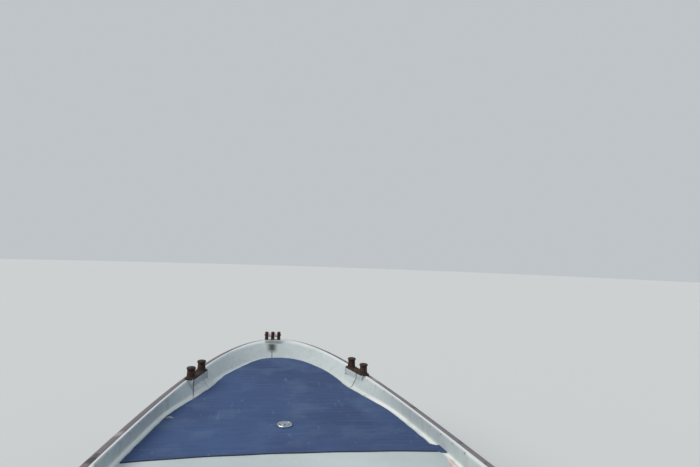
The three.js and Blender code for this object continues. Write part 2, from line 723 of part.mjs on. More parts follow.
function swivelBracket() {
  const arms = sideProfile([
    [tilt.x + 20, tilt.z - 14], [tilt.x + 20, tilt.z + 8], [steerX, tilt.z + 6],
    [steerX, 70], [steerX + 34, 70], [tilt.x - 44, 300], [tilt.x - 18, tilt.z - 26],
  ], -46, 46);
  const hub = rod(27, 150, 'y', tilt.x, 0, tilt.z, 20);
  const column = rod(38, 360, 'z', steerX, 0, 246, 20);
  return cut(join(arms, hub, column), rod(15.5, 240, 'y', tilt.x, 0, tilt.z, 16));
}

// Motor pieces that steer: the leg, its lower unit, the cowl pan and the cowl
const cavitationZ = -180;

function roundedPlan(front, back, half, corner) {
  const shape = new THREE.Shape();
  const [x0, x1] = [steerX + back, steerX + front];
  shape.moveTo(x0 + corner, -half);
  shape.lineTo(x1 - corner * 1.2, -half);
  shape.quadraticCurveTo(x1, -half, x1, -half + corner * 1.1);
  shape.lineTo(x1, half - corner * 1.1);
  shape.quadraticCurveTo(x1, half, x1 - corner * 1.2, half);
  shape.lineTo(x0 + corner, half);
  shape.quadraticCurveTo(x0, half, x0, half - corner);
  shape.lineTo(x0, -half + corner);
  shape.quadraticCurveTo(x0, -half, x0 + corner, -half);
  return shape;
}

function motorLeg() {
  const spine = plate(roundedPlan(-52, -205, 52, 30), cavitationZ + 13, 452);
  const upperYoke = rod(44, 18, 'z', steerX, 0, 442, 16);
  const upperArm = box(steerX - 80, steerX, -40, 40, 433, 451);
  const lowerYoke = rod(44, 32, 'z', steerX, 0, 42, 16);
  const lowerArm = box(steerX - 80, steerX, -36, 36, 28, 56);
  return join(spine, upperYoke, upperArm, lowerYoke, lowerArm);
}

function lowerUnit() {
  const platePlan = plate(roundedPlan(-20, -300, 92, 40), cavitationZ, cavitationZ + 12);
  const neck = plate(roundedPlan(-50, -215, 26, 20), shaftZ + 20, cavitationZ + 2);
  const torpedo = new THREE.LatheGeometry([
    [0, -150], [22, -138], [38, -100], [44, -40], [44, 120], [40, 150], [0, 150],
  ].map(([r, a]) => new THREE.Vector2(r, a)), 16).rotateZ(Math.PI / 2).translate(steerX - 120, 0, shaftZ);
  const skeg = sideProfile([
    [steerX - 50, shaftZ - 20], [steerX - 190, shaftZ - 20], [steerX - 230, shaftZ - 165], [steerX - 170, shaftZ - 165],
  ], -6, 6);
  return join(platePlan, neck, torpedo, skeg);
}

function propeller() {
  const hubX = steerX - 312;
  const hub = rod(40, 78, 'x', hubX, 0, shaftZ, 18, 42);
  const nut = rod(12, 30, 'x', hubX - 50, 0, shaftZ, 10);
  const blades = [0, 1, 2].map((i) => {
    const shape = new THREE.Shape();
    shape.moveTo(-22, 20);
    shape.bezierCurveTo(-70, 70, -62, 135, -10, 148);
    shape.bezierCurveTo(48, 140, 58, 80, 24, 20);
    shape.closePath();
    const blade = new THREE.ExtrudeGeometry(shape, { depth: 7, bevelEnabled: false, curveSegments: 6 });
    return blade.translate(0, 0, -3.5).rotateY(Math.PI / 2 + 0.5).rotateX(i * 2 * Math.PI / 3).translate(hubX, 0, shaftZ);
  });
  return join(hub, nut, ...blades);
}

function cowlPan() {
  return plate(roundedPlan(96, -420, 172, 90), 458, 520);
}

function cowl() {
  const sections = [
    { z: 521, front: 96, back: -428, half: 178 },
    { z: 640, front: 100, back: -438, half: 184 },
    { z: 780, front: 88, back: -430, half: 176 },
    { z: 862, front: 50, back: -380, half: 150 },
    { z: 892, front: 0, back: -320, half: 110 },
  ];
  const ring = ({ z, front, back, half }) => roundedPlan(front, back, half, half * 0.55).getPoints(4).slice(0, -1)
    .map((p) => vec(p.x, p.y, z));
  const rings = sections.map(ring);
  const triangles = [];
  const count = rings[0].length;
  for (let i = 0; i + 1 < rings.length; i += 1) {
    for (let j = 0; j < count; j += 1) {
      const k = (j + 1) % count;
      const [a, b, c, d] = [rings[i][j], rings[i][k], rings[i + 1][k], rings[i + 1][j]];
      triangles.push(a, b, c, a, c, d);
    }
  }
  for (const [ring_, flip] of [[rings[0], true], [rings.at(-1), false]]) {
    const flat = ring_.map((p) => new THREE.Vector2(p.x, p.y));
    for (const [a, b, c] of THREE.ShapeUtils.triangulateShape(flat, [])) {
      triangles.push(ring_[a], ring_[flip ? c : b], ring_[flip ? b : c]);
    }
  }
  return outward(fromTriangles(triangles));
}

// Finishes: colour, roughness, metalness
const finishes = {
  gelcoat: [0xb4bcbc, 0.45, 0],
  hullSide: [0x9fb0b8, 0.4, 0],
  nonskid: [0x2b3a60, 0.85, 0],
  paleDeck: [0xc2cbcd, 0.5, 0],
  timber: [0x7a6248, 0.8, 0],
  rubber: [0x3a3532, 0.85, 0],
  castIron: [0x4a352b, 0.8, 0.6],
  steel: [0x8d9294, 0.4, 0.9],
  motor: [0x20242a, 0.35, 0],
  perspex: [0x9fb4bf, 0.1, 0],
  bronze: [0x8a6a3a, 0.4, 0.9],
};

const boat = new THREE.Group();

function add(name, finish, geometry) {
  const [color, roughness, metalness] = finishes[finish];
  const mesh = new THREE.Mesh(geometry, new THREE.MeshStandardMaterial({ color, roughness, metalness }));
  mesh.name = name;
  boat.add(mesh);
  return mesh;
}

const sides = [['port', 1], ['starboard', -1]];

for (const [name, plate_] of Object.entries(hullPlates())) add(name, 'hullSide', plate_);
add('false_keel', 'timber', falseKeel());
add('stem_band', 'steel', stemBand());
add('foredeck', 'gelcoat', foredeck());
add('nonskid_panel', 'nonskid', nonskidPanel());
for (const [name, side] of sides) {
  for (const length of sideLengths) {
    add(`bulwark_${length.name}_${name}`, 'gelcoat', sideLength(side, bulwarkSection, length));
    add(`side_deck_${length.name}_${name}`, 'gelcoat', sideLength(side, sideDeckSection, length));
  }
  add(`rub_rail_${name}`, 'rubber', rubRail(side));
  add(`side_frames_${name}`, 'gelcoat', sideFrames(side));
}
add('fore_bulkhead', 'gelcoat', foreBulkhead());
add('forepeak_door', 'gelcoat', forepeakDoor());
add('door_hinge_leaf', 'steel', doorHingeLeaf());
add('hold_floor', 'timber', holdFloor());
add('mid_bulkhead', 'gelcoat', midBulkhead());
add('mid_thwart', 'timber', midThwart());
add('cockpit_floor', 'timber', cockpitFloor());
add('helm_console', 'gelcoat', console_());
add('windscreen', 'perspex', windscreen());
add('helm_shaft', 'steel', helmShaft());
add('steering_wheel', 'rubber', steeringWheel());
add('throttle_box', 'motor', throttleBox());
add('throttle_lever', 'steel', throttleLever());
add('bench_locker', 'gelcoat', benchLocker());
add('bench_lid', 'timber', benchLid());
add('bench_hinge_leaf', 'steel', benchHingeLeaf());
add('aft_bulkhead', 'gelcoat', aftBulkhead());
add('aft_deck', 'paleDeck', aftDeck());
add('splash_well', 'gelcoat', splashWell());
add('transom_pad', 'timber', outerPad());
for (const pad of bollardPads) {
  const mesh = add(`bow_bollard_${pad.side > 0 ? 'port' : 'starboard'}`, 'castIron', doubleBollard());
  onPad(mesh.geometry, { ...pad, z: pad.z + restGap });
}
for (const [name, side] of sides) {
  add(`stern_bollard_${name}`, 'castIron', doubleBollard()).position.set(-3690, side * 790, deckZ(0) + restGap);
  const cleat = add(`side_cleat_${name}`, 'steel', hornCleat());
  cleat.position.set(1470, side * 780, deckZ(1470) + 2);
}
const stemHeadMesh = add('stem_head', 'castIron', stemHead());
onPad(stemHeadMesh.geometry, { ...stemHeadPad, z: stemHeadPad.z + restGap });
add('deck_plate', 'steel', deckPlate());
add('clamp_bracket', 'motor', clampBracket());
add('swivel_bracket', 'motor', swivelBracket());
add('motor_leg', 'motor', motorLeg());
add('lower_unit', 'motor', lowerUnit());
add('propeller', 'bronze', propeller());
add('cowl_pan', 'motor', cowlPan());
add('motor_cowl', 'motor', cowl());

export default boat;
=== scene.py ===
"""An open cargo work boat about eight metres long, dressed over its frame of solid parts.

Metres in the boat's own frame: +X to the bow, +Y to port, +Z up, the origin on the waterline
amidships. The file is laid out as an add-on: settings, mesh helpers, finishes, one operator for
each piece or group of like pieces, a panel, and main(), which builds the boat in order.
"""

import math
from collections import namedtuple
from functools import cache
from random import Random

import bmesh
import bpy
from bpy.props import FloatProperty, FloatVectorProperty, PointerProperty, StringProperty
from bpy.types import Operator, Panel, PropertyGroup
from mathutils import Matrix, Vector, noise


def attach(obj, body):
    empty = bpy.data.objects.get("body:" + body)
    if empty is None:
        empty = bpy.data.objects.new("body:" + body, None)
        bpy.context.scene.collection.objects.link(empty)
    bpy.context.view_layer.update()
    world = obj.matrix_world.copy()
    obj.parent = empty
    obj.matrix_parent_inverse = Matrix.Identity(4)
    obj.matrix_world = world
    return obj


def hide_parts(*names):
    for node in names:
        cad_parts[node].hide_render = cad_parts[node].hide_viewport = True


bl_info = {
    "name": "Cargo Work Boat",
    "version": (1, 0, 0),
    "blender": (4, 5, 0),
    "location": "3D View > Sidebar > Cargo Boat",
    "description": "Builds an open cargo work boat with a raised foredeck and an outboard motor",
    "category": "Add Mesh",
}

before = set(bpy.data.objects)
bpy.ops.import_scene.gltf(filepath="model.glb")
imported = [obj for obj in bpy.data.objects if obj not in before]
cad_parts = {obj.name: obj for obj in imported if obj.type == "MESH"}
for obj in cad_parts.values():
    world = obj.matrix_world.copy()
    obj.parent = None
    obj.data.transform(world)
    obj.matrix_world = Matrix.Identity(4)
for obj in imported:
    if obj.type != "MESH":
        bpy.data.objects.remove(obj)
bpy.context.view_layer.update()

# Hull lines, from the same driving dimensions as the frame
BOW_X = 4.0
STERN_X = -4.0
TRANSOM_RAKE = 0.18
TRANSOM_THICKNESS = 0.045
SHELL_THICKNESS = 0.028
CAVITY_FRONT_X = 2.9
LIP_HEIGHT = 0.7
BOW_RISE = 0.15
RISE_START_X = 1.0
BULWARK_HEIGHT = 0.1
JOINT_DROP = 0.118
DECK_CAMBER = 0.012
PANEL_THICKNESS = 0.005
PANEL_AFT_X = 1.8
FOREDECK_AFT_X = 1.545
SIDE_DECK_WIDTH = 0.19
FLANGE_DROP = BULWARK_HEIGHT + 0.07
FLOOR_TOP = 0.05
FLOOR_THICKNESS = 0.025
BOW_ROWS = 12
SEAM = 0.0005

# Directions in the boat's frame
UP = (0, 0, 1)
ACROSS = (0, 1, 0)
AHEAD = (1, 0, 0)
AFT = (-1, 0, 0)

# Hull levels from the keel to the deck joint: where each meets the stem, the length of its curved
# entry, its half breadth, how full the entry is, its heights at the bow, amidships and stern, and
# its half breadth at the stern. The lip and joint heights follow the sheer instead.
Level = namedtuple("Level", "stem_x nose half fullness bow_z mid_z stern_z stern_half")
KEEL = Level(3.15, 5.2, 0.0, 1.0, -0.06, -0.22, -0.2, 0.0)
GARBOARD = Level(3.3, 5.2, 0.42, 1.0, 0.02, -0.165, -0.15, 0.4)
CHINE = Level(3.56, 5.2, 0.79, 0.95, 0.24, -0.06, -0.06, 0.74)
LOWER = Level(3.74, 5.0, 0.88, 0.8, 0.43, 0.16, 0.15, 0.8)
UPPER = Level(3.9, 4.9, 0.965, 0.62, 0.61, 0.4, 0.4, 0.86)
JOINT = Level(BOW_X - 0.022, 4.9, 1.014, 0.51, None, None, None, 0.894)
LIP = Level(BOW_X, 4.9, 1.02, 0.5, None, None, None, 0.9)
HULL_LEVELS = (KEEL, GARBOARD, CHINE, LOWER, UPPER, JOINT)

# Foot of the bulwark on the foredeck at each bow row: distance aft of the bow, half breadth. The
# first entry mirrors the second row across the centreline, and the last is the deck's aft edge.
Foot = namedtuple("Foot", "aft half")
BULWARK_FOOT = (
    Foot(0.270, -0.070),
    Foot(0.262, 0.0), Foot(0.270, 0.070), Foot(0.296, 0.140), Foot(0.350, 0.210), Foot(0.432, 0.276),
    Foot(0.548, 0.344), Foot(0.674, 0.408), Foot(0.812, 0.452), Foot(1.012, 0.500), Foot(1.240, 0.590),
    Foot(1.528, 0.700), Foot(1.849, 0.765), Foot(2.200, 0.820), Foot(2.455, 0.846),
)


class ColourSettings(PropertyGroup):
    """Colours of the boat's finishes, as sRGB hex values."""
    gelcoat: StringProperty(
        name="Deck moulding", description="Chalked gelcoat of the decks and bulwarks", default="#B6C1C4")
    deck_paint: StringProperty(name="Deck paint", description="Grit paint on the foredeck", default="#293F69")
    topsides: StringProperty(name="Topsides", description="Hull above the waterline", default="#8FA3AE")
    boot_stripe: StringProperty(
        name="Boot stripe", description="Stripe above the waterline", default="#22345C")
    bottom: StringProperty(name="Bottom paint", description="Hull below the waterline", default="#5B2E28")
    timber: StringProperty(
        name="Boards", description="Floor boards, thwart and locker lid", default="#7B6B57")
    rail: StringProperty(name="Rub rail", description="Fender strip outside the lip", default="#5D595F")
    motor: StringProperty(name="Motor", description="Motor castings and cover", default="#2B3036")


class FitOutSettings(PropertyGroup):
    """Sizes of the fit-out that don't change the boat's frame."""
    lip_radius: FloatProperty(
        name="Lip radius", description="Rounding of the bulwark's lip", default=0.008, unit="LENGTH")
    foot_radius: FloatProperty(
        name="Foot radius", description="Hollow at the bulwark's foot", default=0.018, unit="LENGTH")
    board_width: FloatProperty(
        name="Board width", description="Width of a floor board", default=0.145, unit="LENGTH")
    board_gap: FloatProperty(
        name="Board gap", description="Gap between floor boards", default=0.004, unit="LENGTH")
    screw_spacing: FloatProperty(
        name="Screw spacing", description="Distance between lip screws", default=0.13, unit="LENGTH")
    rail_screw_spacing: FloatProperty(
        name="Rail screws", description="Distance between rub rail screws", default=0.3, unit="LENGTH")


class StageSettings(PropertyGroup):
    """Camera, light and floor round the boat."""
    camera_at: FloatVectorProperty(
        name="Camera", description="Place of the camera", default=(-0.928, 0.18, 1.67), subtype="XYZ")
    yaw: FloatProperty(
        name="Yaw", description="Turn to starboard", default=math.radians(9.6643), unit="ROTATION")
    pitch: FloatProperty(
        name="Pitch", description="Upward tilt", default=math.radians(2.197), unit="ROTATION")
    roll: FloatProperty(
        name="Roll", description="Turn about the line of sight", default=math.radians(1.948), unit="ROTATION")
    lens: FloatProperty(
        name="Lens", description="Focal length in millimetres", default=26.74)
    floor_margin: FloatProperty(
        name="Floor margin", description="Floor beyond the hull", default=60.0, unit="LENGTH")


# Hull lines as functions of x
def lip_z(x):
    return LIP_HEIGHT + BOW_RISE * max(0.0, (x - RISE_START_X) / (BOW_X - RISE_START_X)) ** 2


def deck_z(x):
    return lip_z(x) - BULWARK_HEIGHT


def joint_z(x):
    return lip_z(x) - JOINT_DROP


def sheer_slope(x):
    """Angle of the deck's rise towards the bow."""
    return math.atan(2 * BOW_RISE * max(0.0, x - RISE_START_X) / (BOW_X - RISE_START_X) ** 2)


def transom_x(z):
    return STERN_X + TRANSOM_RAKE * (LIP_HEIGHT - z)


def level_z(level, x):
    if level.bow_z is None:
        return joint_z(x)
    if x < 0:
        return level.mid_z + (level.stern_z - level.mid_z) * (x / STERN_X) ** 2
    rise = max(0.0, (x - RISE_START_X) / (level.stem_x - RISE_START_X))
    return level.mid_z + (level.bow_z - level.mid_z) * rise ** 2.2


def level_half(level, x):
    aft = level.stem_x - x
    if aft <= 0:
        return 0.0
    if aft < level.nose:
        return level.half * (1 - (1 - aft / level.nose) ** 2) ** level.fullness
    back = (level.stem_x - level.nose - x) / (level.stem_x - level.nose - STERN_X)
    return level.half - (level.half - level.stern_half) * back ** 2


def bow_row_x(level, row, join_x=PANEL_AFT_X, rows=BOW_ROWS):
    """x of a bow row on a level; the rows crowd towards the stem by a square law."""
    return level.stem_x - (level.stem_x - join_x) * (row / rows) ** 2


def smooth_run(points, t):
    """Point t on a smooth curve through numbers or vectors, where t counts them."""
    i = min(int(t), len(points) - 2)
    f = t - i
    b, c = points[i], points[i + 1]
    a = points[i - 1] if i else b * 2 - c
    d = points[i + 2] if i + 2 < len(points) else c * 2 - b
    square = a * 2 - b * 5 + c * 4 - d
    cube = b * 3 - a - c * 3 + d
    return (b * 2 + (c - a) * f + square * f ** 2 + cube * f ** 3) * 0.5


def steps(start, end, count):
    """count + 1 even values from start to end."""
    return [start + (end - start) * i / count for i in range(count + 1)]


def around(count):
    """Even angles once round a circle."""
    return steps(0, 2 * math.pi, count)[:-1]


def mirrored(points):
    """The same points on the starboard side."""
    return [Vector((p.x, -p.y, p.z)) for p in points]


def hull_section(x_of, inset=0.0):
    """Bottom and topside runs of a port half section; x_of gives each level its x."""
    corners = []
    for level in HULL_LEVELS:
        x = x_of(level)
        half = max(0.0, level_half(level, x) - (inset if level.half else 0.0))
        lift = 0.0 if level is JOINT else inset * (0.9 if level.half else 1.15)
        corners.append(Vector((x, half, level_z(level, x) + lift)))
    bottom = [corners[0].lerp(corners[1], t) for t in steps(0, 1, 4)[:-1]]
    bottom += [corners[1].lerp(corners[2], t) for t in steps(0, 1, 4)]
    side = [smooth_run(corners[2:], t) for t in steps(0, 3, 15)]
    return bottom, side


def inner_half(x, z, inset=SHELL_THICKNESS + 0.001):
    """Half breadth inside the hull at a height, with the shell's thickness taken off."""
    bottom, side = hull_section(lambda level: x, inset)
    line = bottom + side[1:]
    for low, high in zip(line, line[1:]):
        if low.z <= z <= high.z:
            return low.y + (high.y - low.y) * (z - low.z) / max(high.z - low.z, 1e-9)
    return line[-1].y if z > line[-1].z else 0.0


def rounded(points, radii, pieces=4):
    """Run of points with its inner corners rounded; each corner's radius is cut to fit."""
    run = [points[0]]
    for before, corner, after, radius in zip(points, points[1:], points[2:], radii):
        back, ahead = before - corner, after - corner
        reach = min(radius, back.length * 0.48, ahead.length * 0.48)
        start = corner + back.normalized() * reach
        end = corner + ahead.normalized() * reach
        for t in steps(0, 1, pieces):
            run.append(start.lerp(corner, t).lerp(corner.lerp(end, t), t))
    return run + [points[-1]]


def turned_to(axis, at=(0, 0, 0)):
    """Matrix that turns +Z to an axis and moves to a place."""
    quat = Vector(UP).rotation_difference(Vector(axis))
    return Matrix.Translation(at) @ quat.to_matrix().to_4x4()


def circle(radius, sides, z=0.0, matrix=Matrix.Identity(4)):
    """Points of a level circle at a height, then moved by matrix."""
    return [matrix @ Vector((radius * math.cos(a), radius * math.sin(a), z))
            for a in around(sides)]


class Form:
    """A mesh in the making, in metres in the boat's own frame."""
    weld = 2e-5
    # Steeper edges than these are rounded, or shaded sharp
    rounded_from = math.radians(30)
    sharp_from = math.radians(38)

    def __init__(self):
        self.bm = bmesh.new()

    def skin(self, rows, closed=False, caps=(False, False)):
        """Skin over rows of points. closed joins each row's ends, caps close the first and last row."""
        verts = [[self.bm.verts.new(p) for p in row] for row in rows]
        for low, high in zip(verts, verts[1:]):
            count = len(low)
            for j in range(count if closed else count - 1):
                k = (j + 1) % count
                self.bm.faces.new((low[j], low[k], high[k], high[j]))
        if caps[0]:
            self.bm.faces.new(verts[0])
        if caps[1]:
            self.bm.faces.new(reversed(verts[-1]))
        return self

    def slab(self, upper, lower, caps=(True, True)):
        """Closed body between two grids of the same size."""
        return self.skin([list(high) + list(low)[::-1] for high, low in zip(upper, lower)], True, caps)

    def block(self, low, high, edge=0.003, turn=Matrix.Identity(4), pieces=2):
        """Box between two corners with its edges rounded, then moved by turn."""
        low, high = Vector(low), Vector(high)
        size = high - low
        matrix = turn @ Matrix.Translation((low + high) / 2) @ Matrix.Diagonal((*size, 1))
        made = bmesh.ops.create_cube(self.bm, size=1.0, matrix=matrix)
        self.round_edges(made["verts"], min(edge, 0.45 * min(size)), pieces)
        return self

    def round_edges(self, verts, edge, pieces=2):
        """Rounds the sharp edges between some of the form's points."""
        if edge <= 0:
            return
        verts = set(verts)
        sharp = [e for e in self.bm.edges if e.verts[0] in verts and e.verts[1] in verts
                 and len(e.link_faces) == 2 and e.calc_face_angle(0) > self.rounded_from]
        bmesh.ops.bevel(self.bm, geom=sharp, offset=edge, segments=pieces, profile=0.5,
                        affect="EDGES", clamp_overlap=True)

    def prism(self, outline, start, end, edge=0.0, matrix=Matrix.Identity(4), pieces=2):
        """Flat outline of (u, v) pairs raised from start to end along Z, then moved by matrix."""
        rings = [[matrix @ Vector((u, v, w)) for u, v in outline] for w in (start, end)]
        return self.between(rings, edge, pieces)

    def between(self, rings, edge=0.0, pieces=2):
        """Closed body over rings, with flat ends; a given edge rounds its sharp edges."""
        first = len(self.bm.verts)
        self.skin(rings, closed=True, caps=(True, True))
        self.bm.verts.ensure_lookup_table()
        self.bm.normal_update()
        self.round_edges(self.bm.verts[first:], edge, pieces)
        return self

    def turning(self, profile, at, axis=UP, sides=24):
        """Turned body from (radius, along) pairs about an axis; the ends are closed."""
        matrix = turned_to(axis, at)
        return self.between([circle(max(r, 1e-5), sides, z, matrix) for r, z in profile])

    def bar(self, path, radius, sides=12):
        """Round bar along a path; radius may be one value or one for each point."""
        path = [Vector(p) for p in path]
        radii = radius if isinstance(radius, (list, tuple)) else [radius] * len(path)
        rows = []
        side = None
        for i, p in enumerate(path):
            ahead = (path[min(i + 1, len(path) - 1)] - path[max(i - 1, 0)]).normalized()
            if side is None:
                side = ahead.orthogonal().normalized()
            side = (side - ahead * side.dot(ahead)).normalized()
            up = ahead.cross(side)
            rows.append([p + (side * math.cos(a) + up * math.sin(a)) * radii[i] for a in around(sides)])
        return self.between(rows)

    def hoop(self, path, normal, radius, sides=10):
        """Round bar closed along a flat loop; normal stands square to the loop."""
        normal = Vector(normal)
        radii = radius if isinstance(radius, (list, tuple)) else [radius] * len(path)
        rows = []
        for i, p in enumerate(path):
            along = (path[(i + 1) % len(path)] - path[i - 1]).normalized()
            side = along.cross(normal)
            rows.append([p + (side * math.cos(a) + normal * math.sin(a)) * radii[i]
                         for a in around(sides)])
        return self.skin(rows + rows[:1], True)

    def screw_head(self, at, axis, radius=0.005, height=0.002):
        """Low domed screw head."""
        profile = [(radius, -0.001), (radius, height * 0.35), (radius * 0.75, height * 0.85),
                   (radius * 0.3, height)]
        return self.turning(profile, at, axis, 10)

    def moved(self, matrix):
        """Moves all that the form holds so far."""
        self.bm.transform(matrix)
        return self

    def scratch_object(self):
        """Ends the form as an object for a cut or a join."""
        self.tidy()
        mesh = bpy.data.meshes.new("scratch")
        self.bm.to_mesh(mesh)
        self.bm.free()
        made = bpy.data.objects.new("scratch", mesh)
        bpy.context.scene.collection.objects.link(made)
        return made

    def tidy(self):
        """Welds doubles, drops slivers and loose points, and turns the faces outward."""
        bmesh.ops.remove_doubles(self.bm, verts=self.bm.verts, dist=self.weld)
        bmesh.ops.dissolve_degenerate(self.bm, edges=self.bm.edges, dist=self.weld)
        loose = [v for v in self.bm.verts if not v.link_faces]
        bmesh.ops.delete(self.bm, geom=loose, context="VERTS")
        bmesh.ops.recalc_face_normals(self.bm, faces=self.bm.faces)

    def piece(self, name, finish, body="boat", nodes=()):
        """Ends the form: makes the object, rides it on its body and gives it its finish."""
        self.tidy()
        mesh = bpy.data.meshes.new(name)
        self.bm.to_mesh(mesh)
        self.bm.free()
        mesh.shade_smooth()
        mesh.set_sharp_from_angle(angle=self.sharp_from)
        made = bpy.data.objects.new(name, mesh)
        bpy.context.scene.collection.objects.link(made)
        mesh.materials.append(finish)
        made.modifiers.new("even shading", "WEIGHTED_NORMAL").keep_sharp = True
        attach(made, body)
        if nodes:
            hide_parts(*nodes)
        return made


def carved(body, *tools, operation="DIFFERENCE"):
    """Form of a closed body with other closed forms cut away from it or joined to it."""
    solid = body.scratch_object()
    cutters = [tool.scratch_object() for tool in tools]
    for cutter in cutters:
        modifier = solid.modifiers.new("cut", "BOOLEAN")
        modifier.operation = operation
        modifier.solver = "EXACT"
        modifier.object = cutter
    graph = bpy.context.evaluated_depsgraph_get()
    mesh = bpy.data.meshes.new_from_object(solid.evaluated_get(graph))
    result = Form()
    result.bm.from_mesh(mesh)
    for scratch in (solid, *cutters):
        bpy.data.objects.remove(scratch)
    return result


# Finishes
MIX_SHARE, MIX_UNDER, MIX_OVER, MIX_COLOUR = 0, 6, 7, 2


def linear(hex_colour):
    """An sRGB hex colour as linear light."""
    parts = [int(hex_colour[i:i + 2], 16) / 255 for i in (1, 3, 5)]
    return (*[p / 12.92 if p <= 0.04045 else ((p + 0.055) / 1.055) ** 2.4 for p in parts], 1.0)


class Finish:
    """A material in the making: its nodes, its shader and the place of each point in metres."""

    def __init__(self, name, slot, **shader_values):
        self.material = bpy.data.materials.new(name)
        self.material.use_nodes = True
        self.material["slot"] = slot
        self.tree = self.material.node_tree
        self.shader = self.tree.nodes["Principled BSDF"]
        self.place = self.node("ShaderNodeTexCoord", output="Object")
        normal = self.node("ShaderNodeTexCoord", output="Normal")
        self.facing = self.node("ShaderNodeSeparateXYZ", {0: normal}, 2)
        for socket, value in shader_values.items():
            self.shader.inputs[socket.replace("_", " ")].default_value = value

    def node(self, kind, inputs=None, output=0, **values):
        """Adds a node, sets it up, links or fills its inputs, and gives one of its outputs.

        A hex colour is made linear on its way in.
        """
        made = self.tree.nodes.new(kind)
        for name, value in values.items():
            setattr(made, name, value)
        for socket, value in (inputs or {}).items():
            if isinstance(value, bpy.types.NodeSocket):
                self.tree.links.new(value, made.inputs[socket])
            else:
                made.inputs[socket].default_value = linear(value) if isinstance(value, str) else value
        return made.outputs[output]

    def patches(self, size, low, high, share=1.0, where=None, stretch=(1, 1, 1), detail=4.0, at=(0, 0, 0)):
        """Soft patches about size metres across, from 0 to share, kept to where a mask is 1."""
        place = self.node("ShaderNodeMapping", {"Vector": self.place, "Location": at,
                                                "Scale": [s / size for s in stretch]})
        clouds = self.node("ShaderNodeTexNoise", {"Vector": place, "Scale": 1.0, "Detail": detail})
        spread = self.node("ShaderNodeMapRange", {"Value": clouds, "From Min": low, "From Max": high,
                                                  "To Max": share})
        if where is None:
            return spread
        return self.node("ShaderNodeMath", {0: spread, 1: where}, operation="MULTIPLY")

    def worn(self, under, over, *patch, **patch_values):
        """One colour over another in soft patches."""
        share = self.patches(*patch, **patch_values)
        return self.node("ShaderNodeMix", {MIX_SHARE: share, MIX_UNDER: under, MIX_OVER: over}, MIX_COLOUR,
                         data_type="RGBA")

    def uneven(self, smooth, rough, *patch, **patch_values):
        """Roughness between two values, in soft patches."""
        share = self.patches(*patch, **patch_values)
        return self.node("ShaderNodeMapRange", {"Value": share, "To Min": smooth, "To Max": rough})

    def finished(self, colour, roughness=None, height=None, depth=0.001, strength=1.0):
        """Links the colour, the roughness and a bump of a real depth, and ends the material."""
        self.tree.links.new(colour, self.shader.inputs["Base Color"])
        if roughness is not None:
            self.tree.links.new(roughness, self.shader.inputs["Roughness"])
        if height is not None:
            bump = self.node("ShaderNodeBump", {"Height": height, "Strength": strength, "Distance": depth})
            self.tree.links.new(bump, self.shader.inputs["Normal"])
        return self.material


def colours():
    """The colours that a user set for the finishes."""
    return bpy.context.scene.cargo_boat_colours


def fit_out():
    """The sizes that a user set for the fit-out."""
    return bpy.context.scene.cargo_boat_fit_out


# Rust runs on the bulwark: where each starts, where it ends, its width, all seen from above
RustRun = namedtuple("RustRun", "start end width")
RUST_RUNS = (
    RustRun((2.895, 0.612), (2.765, 0.588), 0.014),
    RustRun((3.02, 0.56), (2.985, 0.49), 0.007),
    RustRun((3.895, 0.045), (3.79, 0.045), 0.11),
    RustRun((3.82, 0.045), (3.70, 0.046), 0.010),
    RustRun((2.99, -0.58), (2.945, -0.50), 0.014),
)


def rusted(finish, colour, run):
    """A colour with one rust run over it: a soft-edged strip seen from above, ragged along its edges."""
    start, end = Vector((*run.start, 0)), Vector((*run.end, 0))
    reach = (end - start).length
    along = (end - start) / reach
    across = Vector((-along.y, along.x, 0))
    offset = finish.node("ShaderNodeVectorMath", {0: finish.place, 1: start}, operation="SUBTRACT")
    length = finish.node("ShaderNodeVectorMath", {0: offset, 1: along}, "Value", operation="DOT_PRODUCT")
    side = finish.node("ShaderNodeVectorMath", {0: offset, 1: across}, "Value", operation="DOT_PRODUCT")
    ragged = finish.node("ShaderNodeTexNoise", {"Vector": finish.place, "Scale": 90.0, "Detail": 5.0})
    wander = min(run.width, 0.03)
    shifted = finish.node("ShaderNodeMath", {0: ragged, 1: wander, 2: side}, operation="MULTIPLY_ADD")
    centred = finish.node("ShaderNodeMath", {0: shifted, 1: wander * 0.5}, operation="SUBTRACT")
    beside = finish.node("ShaderNodeMath", {0: centred}, operation="ABSOLUTE")
    strip = finish.node("ShaderNodeMapRange", {"Value": beside, "From Min": run.width * 0.5,
                                               "From Max": run.width * 0.12, "To Max": 0.92})
    begin = finish.node("ShaderNodeMapRange", {"Value": length, "From Min": -0.012, "From Max": 0.004})
    fade = finish.node("ShaderNodeMapRange", {"Value": length, "From Min": reach, "From Max": reach * 0.55})
    started = finish.node("ShaderNodeMath", {0: strip, 1: begin}, operation="MULTIPLY")
    mask = finish.node("ShaderNodeMath", {0: started, 1: fade}, operation="MULTIPLY")
    return finish.node("ShaderNodeMix", {MIX_SHARE: mask, MIX_UNDER: colour, MIX_OVER: "#30261F"},
                       MIX_COLOUR, data_type="RGBA")


def above_deck(finish):
    """Height of each point above the deck's edge at its own x."""
    place = finish.node("ShaderNodeSeparateXYZ", {0: finish.place}).node
    rise = finish.node("ShaderNodeMapRange", {"Value": place.outputs["X"], "From Min": RISE_START_X,
                                              "From Max": BOW_X})
    squared = finish.node("ShaderNodeMath", {0: rise, 1: 2.0}, operation="POWER")
    sheer = finish.node("ShaderNodeMath", {0: squared, 1: BOW_RISE, 2: LIP_HEIGHT - BULWARK_HEIGHT},
                        operation="MULTIPLY_ADD")
    return finish.node("ShaderNodeMath", {0: place.outputs["Z"], 1: sheer}, operation="SUBTRACT")


